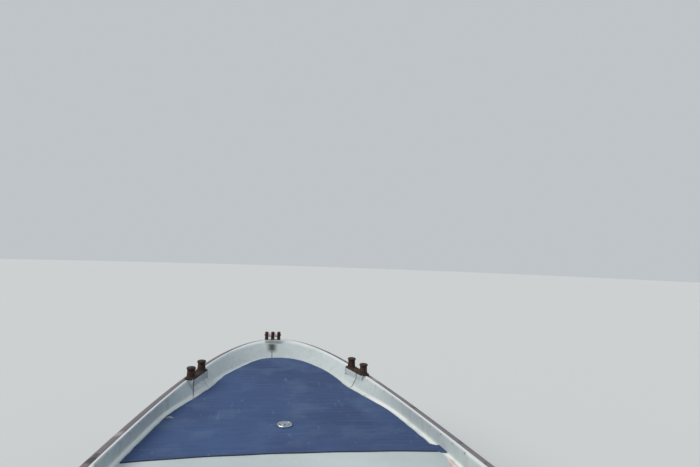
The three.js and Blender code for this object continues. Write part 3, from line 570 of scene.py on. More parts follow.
def moulded_gelcoat(name, streaks):
    """Polyester gelcoat, moulded and then chalked by the sun: dull, cloudy, with fine dirt."""
    finish = Finish(name, "gelcoat", IOR=1.5, Roughness=0.42)
    chalk = finish.worn(colours().gelcoat, "#A8B3B7", 0.45, 0.35, 0.7, detail=5)
    sunned = finish.worn(chalk, "#C8CFCF", 0.11, 0.5, 0.8, 0.35)
    steep = finish.node("ShaderNodeMapRange", {"Value": finish.facing, "From Min": 0.93, "From Max": 0.75})
    soiled = finish.worn(sunned, "#7C8684", 0.03, 0.52, 0.74, streaks, steep, stretch=(1, 1, 0.12))
    return finish, finish.worn(soiled, "#5F665F", 0.006, 0.66, 0.74, 0.3, detail=2)


@cache
def deck_gelcoat():
    """Gelcoat of the decks: a painted highlight, partly rope wear, on the bulwark's lip, a painted highlight,
    partly cleaner gelcoat, in its hollow, and rust runs.
    """
    finish, colour = moulded_gelcoat("chalked_deck_gelcoat", 0.3)
    level = above_deck(finish)
    # Painted highlight: the lip's crest is lightened as if it caught the sky, partly also rope wear.
    crest_highlight = finish.node("ShaderNodeMapRange", {"Value": level, "From Min": 0.083, "From Max": 0.095})
    colour = finish.worn(colour, "#D9E0E1", 0.3, 0.15, 0.4, 0.6, crest_highlight)
    # Painted highlight: the hollow at the bulwark's foot is lightened aft of the bow, partly also cleaner
    # gelcoat there.
    low = finish.node("ShaderNodeMapRange", {"Value": level, "From Min": 0.022, "From Max": 0.008})
    bent = finish.node("ShaderNodeMapRange", {"Value": finish.facing, "From Min": 0.997, "From Max": 0.985})
    length = finish.node("ShaderNodeSeparateXYZ", {0: finish.place})
    aft_of_bow = finish.node("ShaderNodeMapRange", {"Value": length, "From Min": 3.3, "From Max": 2.6})
    hollow = finish.node("ShaderNodeMath", {0: low, 1: bent}, operation="MULTIPLY")
    hollow_highlight = finish.node("ShaderNodeMath", {0: hollow, 1: aft_of_bow}, operation="MULTIPLY")
    colour = finish.worn(colour, "#DDE2E1", 0.2, 0.2, 0.45, 0.8, hollow_highlight)
    for run in RUST_RUNS:
        colour = rusted(finish, colour, run)
    rough = finish.uneven(0.34, 0.55, 0.2, 0.3, 0.7)
    return finish.finished(colour, rough, finish.patches(0.16, 0.2, 0.8, detail=2), depth=0.0012)


@cache
def inner_gelcoat():
    """Brushed gelcoat inside the boat: duller than the deck, scuffed, with a dirty tide mark low down."""
    finish, colour = moulded_gelcoat("brushed_inner_gelcoat", 0.6)
    colour = finish.worn(colour, "#5B6163", 0.05, 0.6, 0.68, 0.4, stretch=(0.2, 1, 1), detail=6)
    height = finish.node("ShaderNodeSeparateXYZ", {0: finish.place}, 2)
    wet = finish.node("ShaderNodeMapRange", {"Value": height, "From Min": 0.22, "From Max": 0.05})
    colour = finish.worn(colour, "#5C5D52", 0.09, 0.25, 0.75, 0.5, wet)
    return finish.finished(colour, None, finish.patches(0.008, 0.3, 0.7, detail=2), depth=0.0005)


@cache
def hull_gelcoat():
    """Sprayed topsides over a boot stripe and rolled bottom paint, with a scum line where they float."""
    finish = Finish("hull_topsides_and_bottom", "hull_side", IOR=1.5, Roughness=0.3)
    topsides = finish.worn(colours().topsides, "#7E919C", 0.5, 0.3, 0.75, 0.5, detail=6)
    topsides = finish.worn(topsides, "#5E6B6C", 0.05, 0.55, 0.8, 0.35, stretch=(1, 1, 0.1), detail=5)
    topsides = finish.worn(topsides, "#46525A", 0.04, 0.66, 0.7, 0.5, stretch=(0.15, 0.15, 1), detail=7)
    rolled = finish.worn(colours().bottom, "#6E3C33", 0.12, 0.3, 0.7)
    wavy = finish.node("ShaderNodeTexNoise", {"Vector": finish.place, "Scale": 8.0, "Detail": 6.0})
    level = finish.node("ShaderNodeSeparateXYZ", {0: finish.place}, 2)
    height = finish.node("ShaderNodeMath", {0: wavy, 1: 0.006, 2: level}, operation="MULTIPLY_ADD")
    painted = topsides
    for top, paint in ((0.095, colours().boot_stripe), (0.045, rolled)):
        below = finish.node("ShaderNodeMath", {0: height, 1: top}, operation="LESS_THAN")
        painted = finish.node("ShaderNodeMix", {MIX_SHARE: below, MIX_UNDER: painted, MIX_OVER: paint},
                              MIX_COLOUR, data_type="RGBA")
    scum = finish.node("ShaderNodeMapRange", {"Value": height, "From Min": 0.075, "From Max": 0.01})
    painted = finish.worn(painted, "#4A5040", 0.06, 0.35, 0.65, 0.75, scum, detail=6)
    # The shell's inner faces look towards the middle of the boat or straight up
    place = finish.node("ShaderNodeSeparateXYZ", {0: finish.place}, 1)
    facing = finish.node("ShaderNodeSeparateXYZ", {0: finish.node("ShaderNodeTexCoord", output="Normal")}, 1)
    inward = finish.node("ShaderNodeMath", {0: place, 1: facing}, operation="MULTIPLY")
    to_middle = finish.node("ShaderNodeMath", {0: inward, 1: -0.01}, operation="LESS_THAN")
    upward = finish.node("ShaderNodeMath", {0: finish.facing, 1: 0.5}, operation="GREATER_THAN")
    inside = finish.node("ShaderNodeMath", {0: to_middle, 1: upward}, operation="MAXIMUM")
    painted = finish.node("ShaderNodeMix", {MIX_SHARE: inside, MIX_UNDER: painted, MIX_OVER: "#8E999C"},
                          MIX_COLOUR, data_type="RGBA")
    rough = finish.uneven(0.25, 0.5, 0.5, 0.3, 0.75, detail=6)
    return finish.finished(painted, rough, finish.patches(0.3, 0.2, 0.8, detail=2), depth=0.002)


@cache
def grit_paint():
    """Deck paint with sand rolled into it: matt, gritty, faded and streaked where feet and cargo pass."""
    finish = Finish("navy_grit_deck_paint", "nonskid", IOR=1.48, Roughness=0.88)
    colour = finish.worn(colours().deck_paint, "#344E7B", 0.6, 0.35, 0.7, detail=5)
    colour = finish.worn(colour, "#4A628B", 0.02, 0.45, 0.75, 0.35, stretch=(1, 0.06, 1), detail=5)
    colour = finish.worn(colour, "#6E86A3", 0.035, 0.64, 0.72, 0.3, stretch=(0.3, 1, 1), detail=7)
    colour = finish.worn(colour, "#647B97", 0.22, 0.5, 0.8, 0.35, detail=6)
    # Grit of 1 to 2 mm grains, drawn at 3 mm so that it shows
    grit = finish.node("ShaderNodeTexVoronoi", {"Vector": finish.place, "Scale": 330.0}, "Distance")
    dark = finish.node("ShaderNodeMapRange", {"Value": grit, "From Min": 0.45, "From Max": 0.8,
                                              "To Max": 0.35})
    grainy = finish.node("ShaderNodeMix", {MIX_SHARE: dark, MIX_UNDER: colour, MIX_OVER: "#1C2B48"},
                         MIX_COLOUR, data_type="RGBA")
    return finish.finished(grainy, None, grit, depth=0.0006, strength=0.7)


@cache
def sealant():
    """Polyurethane sealant bead: matt black, gone grey with dirt."""
    finish = Finish("black_sealant", "nonskid", IOR=1.5, Roughness=0.8)
    colour = finish.worn("#15171C", "#2A2D33", 0.03, 0.3, 0.7)
    return finish.finished(colour, None, finish.patches(0.004, 0.3, 0.7), depth=0.0004)


@cache
def boards(lie="along"):
    """Softwood boards under worn-off oil: grey-brown, with raised grain along their length."""
    finish = Finish(f"weathered_softwood_laid_{lie}", "timber", IOR=1.5, Roughness=0.78)
    # Grain lines stand 4 mm apart and run for about 300 mm
    grain_run = (0.013, 1, 1) if lie == "along" else (1, 0.013, 1)
    board_run = (0.4, 1, 1) if lie == "along" else (1, 0.4, 1)
    colour = finish.worn(colours().timber, "#54473A", 0.004, 0.35, 0.65, 0.65, stretch=grain_run, detail=6)
    colour = finish.worn(colour, "#8A8378", 0.35, 0.4, 0.7, stretch=board_run)
    colour = finish.worn(colour, "#4B4138", 0.16, 0.5, 0.75, 0.5, detail=7)
    grain = finish.patches(0.004, 0.35, 0.65, stretch=grain_run, detail=6)
    return finish.finished(colour, None, grain, depth=0.0008)


@cache
def bottom_paint():
    """Rolled bottom paint on hardwood: matt red-brown, with a little weed."""
    finish = Finish("bottom_paint_on_hardwood", "keel_timber", IOR=1.5, Roughness=0.8)
    colour = finish.worn(colours().bottom, "#6E3C33", 0.15, 0.3, 0.7)
    colour = finish.worn(colour, "#3C4233", 0.03, 0.58, 0.7, 0.6, detail=6)
    return finish.finished(colour, None, finish.patches(0.01, 0.3, 0.7), depth=0.0006)


@cache
def fender_rubber():
    """Extruded fender rubber: brown-grey, lighter on its upward faces, partly sun bleaching and partly a
    painted highlight, and scuffed pale where it rubs.
    """
    finish = Finish("scuffed_fender_rubber", "rail_rubber", IOR=1.5, Roughness=0.75)
    colour = finish.worn(colours().rail, "#6C666B", 0.3, 0.35, 0.7, detail=5)
    # Painted highlight: upward faces are lightened, partly also sun bleaching.
    top = finish.node("ShaderNodeMapRange", {"Value": finish.facing, "From Min": 0.2, "From Max": 0.9,
                                             "To Max": 0.4})
    colour = finish.node("ShaderNodeMix", {MIX_SHARE: top, MIX_UNDER: colour, MIX_OVER: "#79747A"},
                         MIX_COLOUR, data_type="RGBA")
    colour = finish.worn(colour, "#A59D9E", 0.02, 0.6, 0.66, 0.6, stretch=(0.12, 0.12, 1), detail=7)
    colour = finish.worn(colour, "#2F2A2C", 0.05, 0.64, 0.7, 0.8, stretch=(0.3, 0.3, 1), detail=5,
                         at=(3, 1, 7))
    return finish.finished(colour, None, finish.patches(0.012, 0.3, 0.7, detail=6), depth=0.0009)


@cache
def rusted_iron():
    """Cast iron under old rust: nearly black, rough, with brown and orange patches."""
    finish = Finish("rusted_cast_iron", "rusty_iron", Metallic=0.25, Roughness=0.82)
    colour = finish.worn("#2A2320", "#45332A", 0.03, 0.35, 0.65, detail=6)
    colour = finish.worn(colour, "#6E4430", 0.014, 0.56, 0.68, 0.65, detail=7)
    colour = finish.worn(colour, "#17130F", 0.02, 0.58, 0.66, at=(5, 5, 5))
    return finish.finished(colour, None, finish.patches(0.004, 0.25, 0.75, detail=6), depth=0.0012)


@cache
def steel():
    """Stainless steel, rolled and brushed, gone dull with salt and tea-coloured spots."""
    finish = Finish("dull_stainless_steel", "steel", Metallic=1.0, Roughness=0.38)
    colour = finish.worn("#BFC1C0", "#A6A9AA", 0.04, 0.3, 0.7)
    colour = finish.worn(colour, "#7A5A3C", 0.008, 0.64, 0.72, 0.6, detail=6)
    rough = finish.uneven(0.28, 0.5, 0.01, 0.3, 0.7, stretch=(0.1, 1, 1))
    return finish.finished(colour, rough, finish.patches(0.0012, 0.3, 0.7), depth=0.00008)


@cache
def nylon():
    """Moulded nylon, bleached and chalky: a soft pinkish white with rope burns."""
    finish = Finish("bleached_moulded_nylon", "cleat_nylon", IOR=1.53, Roughness=0.55)
    colour = finish.worn("#CFC4C0", "#B9ABA7", 0.03, 0.35, 0.7)
    colour = finish.worn(colour, "#7E7673", 0.012, 0.6, 0.7, 0.6, detail=6)
    return finish.finished(colour, None, finish.patches(0.003, 0.3, 0.7), depth=0.0003)


@cache
def chromed_bronze():
    """Cast bronze, turned and chromed, clouded by salt; its pale blue tint is a painted reflection of the
    sky.
    """
    finish = Finish("clouded_chromed_bronze", "plate_bronze", Metallic=1.0, Roughness=0.34)
    # Painted reflection: the pale blue of the base colour stands for the sky.
    colour = finish.worn("#BFC6CC", "#98A2AB", 0.02, 0.3, 0.7)
    colour = finish.worn(colour, "#74877F", 0.01, 0.62, 0.7, 0.5, detail=6)
    return finish.finished(colour, None, finish.patches(0.003, 0.3, 0.7), depth=0.0002)


@cache
def black_plastic():
    """Moulded black plastic with a fine leather-like grain, greyed by the sun."""
    finish = Finish("grained_black_plastic", "wheel_plastic", IOR=1.5, Roughness=0.5)
    colour = finish.worn("#1C1D1F", "#2E3033", 0.05, 0.35, 0.75)
    grain = finish.node("ShaderNodeTexVoronoi", {"Vector": finish.place, "Scale": 700.0}, "Distance")
    return finish.finished(colour, None, grain, depth=0.0003)


@cache
def acrylic():
    """Cast acrylic sheet: clear with a grey-blue tint and fine wiping scratches."""
    finish = Finish("cast_acrylic_sheet", "clear_sheet", IOR=1.49, Transmission_Weight=0.9)
    colour = finish.worn("#C9D6DA", "#B4C6CC", 0.1, 0.3, 0.7)
    rough = finish.uneven(0.04, 0.16, 0.01, 0.5, 0.7, stretch=(1, 0.1, 1), detail=7)
    return finish.finished(colour, rough)


@cache
def casting_paint():
    """Sprayed enamel on aluminium castings: dark grey, satin, chipped to primer at the corners."""
    finish = Finish("sprayed_enamel_on_castings", "motor_paint", IOR=1.5, Roughness=0.36)
    colour = finish.worn(colours().motor, "#353B42", 0.15, 0.3, 0.7)
    colour = finish.worn(colour, "#8B8F8E", 0.009, 0.7, 0.73, detail=5)
    colour = finish.worn(colour, "#7B8487", 0.06, 0.5, 0.8, 0.35, detail=7)
    return finish.finished(colour, None, finish.patches(0.002, 0.3, 0.7), depth=0.0002)


@cache
def cover_plastic():
    """Moulded cover, painted and waxed: dark grey and glossy, with wiping marks and dried salt."""
    finish = Finish("painted_moulded_cover", "cowl_plastic", IOR=1.5, Coat_Weight=0.4)
    colour = finish.worn(colours().motor, "#23272C", 0.3, 0.3, 0.7)
    colour = finish.worn(colour, "#7C868B", 0.05, 0.55, 0.85, 0.3, stretch=(1, 1, 0.3), detail=7)
    rough = finish.uneven(0.16, 0.42, 0.08, 0.4, 0.7, detail=6)
    return finish.finished(colour, rough, finish.patches(0.2, 0.2, 0.8, detail=2), depth=0.0006)


@cache
def propeller_paint():
    """Painted aluminium propeller: black, worn bright in patches."""
    finish = Finish("painted_propeller_alloy", "prop_alloy", Metallic=0.3, Roughness=0.4)
    colour = finish.worn("#1F2124", "#8F9394", 0.03, 0.62, 0.7, detail=6)
    return finish.finished(colour, None, finish.patches(0.005, 0.3, 0.7), depth=0.0003)


# Hull plates
PLATE_GAP = 0.0003
# Last upright section of the plates; one more section leans with the transom
LAST_SECTION_X = -3.7
BOW_SKIN_ROWS = 32


def plate_rows(pick, inset=0.0):
    """Rows of a hull plate from the bow to the transom; pick chooses its run of each section."""
    sections = steps(CAVITY_FRONT_X - PLATE_GAP, LAST_SECTION_X, 66)
    rows = [pick(*hull_section(lambda level: x, inset)) for x in sections]
    last = pick(*hull_section(lambda level: transom_x(level_z(level, STERN_X)), inset))
    for p in last:
        p.x = transom_x(p.z) + TRANSOM_THICKNESS + PLATE_GAP
    return rows + [last]


def hull_plate(name, pick, nodes):
    """One hull plate as thick as the shell."""
    form = Form().slab(plate_rows(pick), plate_rows(pick, SHELL_THICKNESS))
    form.piece(name, hull_gelcoat(), nodes=nodes)


def hull_bottom():
    """Bottom plate, from chine to chine."""
    hull_plate("hull_bottom_plate", lambda bottom, side: mirrored(bottom)[::-1] + bottom[1:],
               ["hull_bottom", "forepeak_bottom"])


def hull_side(name, mirror):
    """Topside plate, from the chine to the deck joint."""
    hull_plate(f"hull_side_{name}_plate", lambda bottom, side: mirrored(side) if mirror else side,
               [f"hull_side_{name}", f"forepeak_side_{name}"])


def hull_bow():
    """Closed bow forward of the plates."""
    rows = []
    for row in range(BOW_SKIN_ROWS + 1):
        bottom, side = hull_section(
            lambda level: bow_row_x(level, row, CAVITY_FRONT_X + PLATE_GAP, BOW_SKIN_ROWS))
        port = bottom + side[1:]
        rows.append(port + mirrored(port[1:])[::-1])
    Form().skin(rows, True, (False, True)).piece("hull_bow", hull_gelcoat(), nodes=["bow"])


# The transom's cut-out for the motor
NOTCH_HALF = 0.31
NOTCH_Z = 0.33
NOTCH_RADIUS = 0.04


def transom():
    """The transom plate, with its cut-out for the motor."""
    bottom, side = hull_section(lambda level: transom_x(level_z(level, STERN_X)))
    port = (bottom + side[1:])[::-1]
    top = port[0].z
    cut_out = rounded([Vector((0, NOTCH_HALF, top)), Vector((0, NOTCH_HALF, NOTCH_Z)),
                       Vector((0, -NOTCH_HALF, NOTCH_Z)), Vector((0, -NOTCH_HALF, top))], (NOTCH_RADIUS,) * 2)
    outline = [(p.y, p.z) for p in port + mirrored(port[:-1])[::-1]] + [(-p.y, p.z) for p in cut_out]
    rings = [[Vector((transom_x(z) + by, y, z)) for y, z in outline]
             for by in (0.0, TRANSOM_THICKNESS - PLATE_GAP)]
    Form().between(rings, 0.003, 1).piece("transom_plate", hull_gelcoat(), nodes=["transom"])


STEM_BAND_HALF = 0.02
STEM_BAND_THICKNESS = 0.012


def stem_line():
    """Line of the stem from the keel to just under the lip."""
    bottom, side = hull_section(lambda level: level.stem_x)
    return bottom + side[1:] + [Vector((BOW_X, 0, lip_z(BOW_X) - 0.03))]


def stem_band():
    """Half-round steel band up the stem, screwed on."""
    line = stem_line()
    rows = []
    for i, p in enumerate(line):
        along = (line[min(i + 1, len(line) - 1)] - line[max(i - 1, 0)]).normalized()
        out = Vector((along.z, 0, -along.x))
        back = p + out * 0.0012
        rows.append([back + Vector((0, STEM_BAND_HALF * math.cos(a), 0))
                     + out * STEM_BAND_THICKNESS * math.sin(a) for a in steps(0, math.pi, 8)])
    form = Form().between(rows)
    for share in steps(0.06, 0.94, 8):
        place = share * (len(line) - 1)
        i = int(place)
        along = (line[i + 1] - line[i]).normalized()
        out = Vector((along.z, 0, -along.x))
        at = line[i].lerp(line[i + 1], place - i) + out * (STEM_BAND_THICKNESS + 0.001)
        form.screw_head(at, out, 0.006)
    form.piece("stem_band_half_round", steel(), nodes=["stem_band"])


KEEL_FRONT_X = 3.0
KEEL_BACK_X = -3.2
KEEL_HALF = 0.018
KEEL_DEPTH = 0.045
KEEL_TAPER = 0.07


def false_keel():
    """Hardwood keel strip under the bottom, with rounded lower edges and short tapered ends."""
    rows = []
    for x in steps(KEEL_FRONT_X, KEEL_BACK_X, 62):
        top = level_z(KEEL, x) - 2 * SEAM
        from_end = min(KEEL_FRONT_X - x, x - KEEL_BACK_X)
        low = top - KEEL_DEPTH * min(1.0, 0.15 + from_end / KEEL_TAPER)
        half = KEEL_HALF
        corners = [Vector((x, y, z)) for y, z in ((half, top), (half, low), (-half, low), (-half, top))]
        rows.append(rounded(corners, (0.006, 0.006), 3))
    Form().between(rows).piece("keel_strip", bottom_paint(), nodes=["false_keel"])


# Deck edge: t counts bow rows up to BOW_ROWS, then steps of AFT_STEP along the boat
AFT_STEP = PANEL_AFT_X - FOREDECK_AFT_X
STERN_T = BOW_ROWS + (PANEL_AFT_X - STERN_X - 0.004) / AFT_STEP


def edge_x(level, t):
    return bow_row_x(level, t) if t <= BOW_ROWS else PANEL_AFT_X - AFT_STEP * (t - BOW_ROWS)


def lip_row(x):
    """The count t on the lip at an x forward of the bow rows' end."""
    return BOW_ROWS * math.sqrt((BOW_X - x) / (BOW_X - PANEL_AFT_X))


def skirt_point(t, drop):
    """Point on the decks' outer skirt at a drop below the lip."""
    lip, joint = [Vector((edge_x(level, t), level_half(level, edge_x(level, t)), 0))
                  for level in (LIP, JOINT)]
    p = lip.lerp(joint, drop / JOINT_DROP)
    p.z = lip_z(p.x) - drop
    return p


def outward(t):
    """Level direction out from the deck's edge on the port side."""
    along = (skirt_point(t - 0.05, 0) - skirt_point(t, 0)).xy.normalized()
    return Vector((-along.y, along.x, 0))


def even_marks(start_t, end_t, spacing):
    """Counts t an even distance apart along the deck's edge."""
    marks, covered, last = [], spacing * 0.5, skirt_point(start_t, 0)
    for t in steps(start_t, end_t, 1200)[1:]:
        p = skirt_point(t, 0)
        covered += (p - last).length
        last = p
        if covered >= spacing:
            marks.append(t)
            covered -= spacing
    return marks


def screw_set(name, seats, radius, height, mirror=False):
    """Steel screw heads at (place, axis) pairs."""
    form = Form()
    for seat in seats:
        at, axis = mirrored(seat) if mirror else seat
        form.screw_head(at, axis, radius, height)
    form.piece(name, steel())


# Section of the rub rail: out from the skirt, and down from the lip
RAIL_SECTION = ((0, 0.011), (0.012, 0.006), (0.038, 0.006), (0.056, 0.022), (0.057, 0.078), (0.032, 0.104),
                (0, 0.106))
RAIL_RADII = (0.006, 0.012, 0.014, 0.014, 0.008)
RAIL_GAP = 0.0015
RAIL_START_T = 0.32


def rail_point(t, out, drop):
    """Point of the port rail, kept clear of the stem band."""
    p = skirt_point(t, drop) + outward(t) * (out + RAIL_GAP)
    p.y = max(p.y, STEM_BAND_HALF + 0.001)
    return p


def rub_rail(name, mirror):
    """Fender strip outside the lip, from the stem to the transom, and its screws."""
    rows = []
    for t in steps(RAIL_START_T, BOW_ROWS, 56) + steps(BOW_ROWS, STERN_T, 64)[1:]:
        run = rounded([rail_point(t, out, drop) for out, drop in RAIL_SECTION], RAIL_RADII, 3)
        rows.append(mirrored(run) if mirror else run)
    form = Form().between(rows)
    form.piece(f"fender_strip_{name}", fender_rubber(), nodes=[f"rub_rail_{name}"])
    marks = even_marks(1.2, STERN_T - 0.4, fit_out().rail_screw_spacing)
    seats = [(rail_point(t, 0.0562, 0.05), outward(t)) for t in marks]
    screw_set(f"rail_screws_{name}", seats, 0.007, 0.0015, mirror)


# Foredeck
LIP_WIDTH = 0.016
INNER_LIP_RADIUS = 0.006
# The lip broadens to a sloping brow at the stem: its extra width there, its drop, the row where it ends
BROW = (0.07, 0.013, 6.5)
# The hollow between the deck and the bulwark's face: its width at the bow and aft, and its rise
HOLLOW = (0.010, 0.026, 0.0045)
CROWN_HALF = 0.82


def foot_at(t):
    """Foot of the bulwark on the port side."""
    aft = smooth_run([foot.aft for foot in BULWARK_FOOT], t + 1)
    half = smooth_run([foot.half for foot in BULWARK_FOOT], t + 1)
    return Vector((BOW_X - aft, half, deck_z(BOW_X - aft)))


def deck_surface(x, y, half):
    """Height of the crowned foredeck where the bulwark's foot is half from the centreline."""
    share = min(1.0, abs(y) / half) if half > 1e-6 else 0.0
    return deck_z(x) + DECK_CAMBER * (1 - share ** 2) * (half / CROWN_HALF) ** 2


# Corners of the port bulwark's section: the lip's two edges, the foot of its face and the foot on the
# deck, with the level direction inward
Bulwark = namedtuple("Bulwark", "outer inner face_foot foot inward")


def bulwark_at(t):
    """The bulwark's corners at a count t along the deck's edge."""
    outer_x = edge_x(LIP, t)
    outer = Vector((outer_x, level_half(LIP, outer_x), lip_z(outer_x)))
    foot = foot_at(t)
    inward = (foot - outer) * Vector((1, 1, 0))
    inward.normalize()
    extra_width, drop, brow_end = BROW
    brow = max(0.0, 1 - t / brow_end) ** 1.5
    inner = outer + inward * (LIP_WIDTH + extra_width * brow)
    inner.z = lip_z(inner.x) - drop * brow
    bow_width, aft_width, rise = HOLLOW
    width = bow_width + (aft_width - bow_width) * min(1.0, max(0.0, (t - 2.5) / 5))
    face_foot = foot - inward * width + Vector((0, 0, rise))
    return Bulwark(outer, inner, face_foot, foot, inward)


def foredeck_row(t):
    """One row of the deck moulding from skirt to skirt."""
    outer, inner, face_foot, foot, inward = bulwark_at(t)
    on_deck = foot + inward * 0.035
    on_deck.y = max(on_deck.y, foot.y * 0.2)
    on_deck.z = deck_surface(on_deck.x, on_deck.y, foot.y)
    inner_radius = INNER_LIP_RADIUS + 0.3 * (lip_z(inner.x) - inner.z)
    run = rounded([skirt_point(t, JOINT_DROP), outer, inner, face_foot, foot, on_deck],
                  (fit_out().lip_radius, inner_radius, fit_out().foot_radius, 0.01), 5)
    deck = [Vector((on_deck.x, on_deck.y * share, deck_surface(on_deck.x, on_deck.y * share, foot.y)))
            for share in steps(1, -1, 24)[1:-1]]
    return run + deck + mirrored(run)[::-1]


# Seats of the bow fittings on the lip: side of the boat, place, and turn along the lip
Seat = namedtuple("Seat", "side x y turn")
BOLLARD_SEATS = {"port": Seat(1, 2.96, 0.6, 0.3), "starboard": Seat(-1, 3.03, -0.586, -0.36)}
STEM_HEAD_SEAT = Seat(1, 3.935, 0.04, 0.0)
# Section of the wedge under a bow bollard: out from its middle, and up from the lip
PAD_SECTION = ((-0.031, 0), (0.010, 0), (0.010, -0.020), (-0.031, -0.050))


def seat_matrix(seat, lift=0.0):
    """Place of a fitting on the lip, turned along the bulwark and up the sheer."""
    place = Matrix.Translation((seat.x, seat.y, lip_z(seat.x) + 0.001 + lift))
    return place @ Matrix.Rotation(-sheer_slope(seat.x), 4, "Y") @ Matrix.Rotation(-seat.turn, 4, "Z")


def bollard_pad(seat):
    """Wedge that levels a bollard's seat on the lip."""
    matrix = seat_matrix(seat)
    rings = [[matrix @ Vector((x, y * seat.side, z)) for y, z in PAD_SECTION] for x in (-0.125, 0.125)]
    return Form().between(rings, 0.005, 3)


def stem_head_pad():
    """Wedge under the stem head's plate."""
    outline = ((-0.03, 0), (-0.03, -0.046), (0.024, -0.022), (0.024, 0))
    return Form().prism(outline, -0.068, 0.068, 0.005, SIDEWAYS, 3).moved(seat_matrix(STEM_HEAD_SEAT))


def foredeck():
    """The foredeck moulding in one, from the joint over the lip and the deck, with the fittings' wedges."""
    rows = [foredeck_row(t) for t in steps(0, BOW_ROWS, 72) + steps(BOW_ROWS, BOW_ROWS + 1, 6)[1:]]
    under = []
    for row in rows:
        flat = [Vector((p.x, p.y, joint_z(p.x) + SEAM)) for p in row]
        flat[0], flat[-1] = row[0].copy(), row[-1].copy()
        under.append(flat)
    deck = Form().slab(rows, under, (False, True))
    pads = [bollard_pad(seat) for seat in BOLLARD_SEATS.values()]
    deck = carved(deck, *pads, stem_head_pad(), operation="UNION")
    deck.piece("foredeck_moulding", deck_gelcoat(), nodes=["foredeck"])


def panel_edge(y):
    """x of the grit paint's aft edge: a little skewed and wavy."""
    skew = 0.022 - 0.03 * max(0.0, y) ** 2
    wave = 0.0015 * math.sin(y * 19)
    return PANEL_AFT_X + skew + wave - 0.006 * (abs(y) / 0.8) ** 6


def panel_point(t, share, lift, aft_share):
    """Point of the grit paint: share runs from 1 at its port edge to -1 at its starboard edge."""
    foot = foot_at(t)
    ragged = 0.006 * noise.noise(Vector((foot.x * 13, foot.y * 13, 5.0 if share > 0 else 8.0)))
    # The paint stops short of the hollow on the port bow
    bare = 0.026 * math.exp(-((t - 4.6) / 2.2) ** 2) if share > 0 else 0.0
    y = (foot.y - 0.004 - bare + ragged * abs(share)) * share
    x = foot.x - (0.004 if t == 0 else 0)
    x += (panel_edge(y) - PANEL_AFT_X) * aft_share
    return Vector((x, y, deck_surface(x, y, foot.y) + lift))


def nonskid_panel():
    """Thick gritty deck paint, its edge a little ragged."""
    # Columns across the paint: their share of its breadth, and their height
    rim = [(1, 0.0012), (1, 0.0036), (0.997, 0.0047)]
    columns = rim + [(s, PANEL_THICKNESS) for s in steps(0.992, -0.992, 28)] + [(-s, z) for s, z in rim[::-1]]
    # Rows along the paint: their count t, how far they follow its skewed aft edge, and their greatest height
    square = BOW_ROWS - 1
    rows = [(t, 0.0, PANEL_THICKNESS) for t in steps(0, square, 110)]
    rows += [(t, (t - square) ** 2, PANEL_THICKNESS) for t in steps(square, square + 0.97, 12)[1:]]
    rows += [(BOW_ROWS, 1.0, 0.0036), (BOW_ROWS, 1.0, 0.0012)]
    upper = [[panel_point(t, s, min(z, cap), skew) for s, z in columns] for t, skew, cap in rows]
    lower = [[panel_point(t, s, 0.001, skew) for s, _ in columns] for t, skew, _ in rows]
    Form().slab(upper, lower, (False, True)).piece("grit_deck_paint", grit_paint(), nodes=["nonskid_panel"])
    # Black bead along the paint's aft edge; its black stands partly for a painted shadow under the paint's
    # raised edge.
    bead = [panel_point(BOW_ROWS, s, 0.001, 1.0) + Vector((-0.004, 0, 0)) for s in steps(0.995, -0.995, 60)]
    Form().bar(bead, 0.0035, 8).piece("deck_paint_edge_shadow_bead", sealant())


def paint_lap():
    """Deck paint lapped over the hollow and up the bulwark at the panel's starboard aft corner."""
    upper, lower = [], []
    for along in steps(0, 1, 12):
        t = 11.66 + 0.31 * along
        bulwark = bulwark_at(t)
        foot = bulwark.foot
        on_deck = foot + bulwark.inward * 0.01
        run = rounded([on_deck, foot, bulwark.face_foot, bulwark.inner], (0.01, 0.012), 5)
        reach = 0.012 + 0.04 * min(1.0, along * 1.9) ** 0.8
        row, covered = [], 0.0
        for here, ahead in zip(run, run[1:]):
            step = (ahead - here).length
            for share in steps(0, 1, 4)[:-1]:
                if covered + step * share <= reach:
                    row.append(here.lerp(ahead, share))
            covered += step
        row = [smooth_run(row, i) for i in steps(0, len(row) - 1, 16)]
        for i, p in enumerate(row):
            p.x += (panel_edge(-foot.y) - PANEL_AFT_X) * along - 0.07 * along * (i / 16) ** 1.3
        upper.append(mirrored([p + Vector((0, -0.0004, 0.0022)) for p in row]))
        lower.append(mirrored([p + Vector((0, 0, 0.0004)) for p in row]))
    Form().slab(upper, lower).piece("deck_paint_lap", grit_paint())


# Side decks
SIDE_SECTION = ((0, 0), (0.022, 0), (0.034, BULWARK_HEIGHT), (SIDE_DECK_WIDTH, BULWARK_HEIGHT),
                (SIDE_DECK_WIDTH, FLANGE_DROP), (SIDE_DECK_WIDTH - 0.018, FLANGE_DROP),
                (SIDE_DECK_WIDTH - 0.018, JOINT_DROP - SEAM))


def side_deck(name, mirror):
    """Side deck with its bulwark and its inner flange, from the foredeck to the transom."""
    radii = (fit_out().lip_radius, INNER_LIP_RADIUS, fit_out().foot_radius, 0.012, 0.007, 0.007)
    rows = []
    for x in steps(FOREDECK_AFT_X - SEAM, STERN_X + 0.002, 70):
        lip = level_half(LIP, x)
        corners = [Vector((x, level_half(JOINT, x), joint_z(x) + SEAM))]
        corners += [Vector((x, lip - inward, lip_z(x) - drop)) for inward, drop in SIDE_SECTION]
        run = rounded(corners, radii, 5)
        rows.append(mirrored(run) if mirror else run)
    over_transom = Form().block((STERN_X - 0.05, -1.1, 0.4),
                                (STERN_X + 0.13, 1.1, joint_z(STERN_X) + SEAM), 0)
    deck = carved(Form().between(rows), over_transom)
    nodes = [f"{part}_{length}_{name}" for part in ("bulwark", "side_deck") for length in ("fore", "aft")]
    deck.piece(f"side_deck_{name}_moulding", deck_gelcoat(), nodes=nodes)


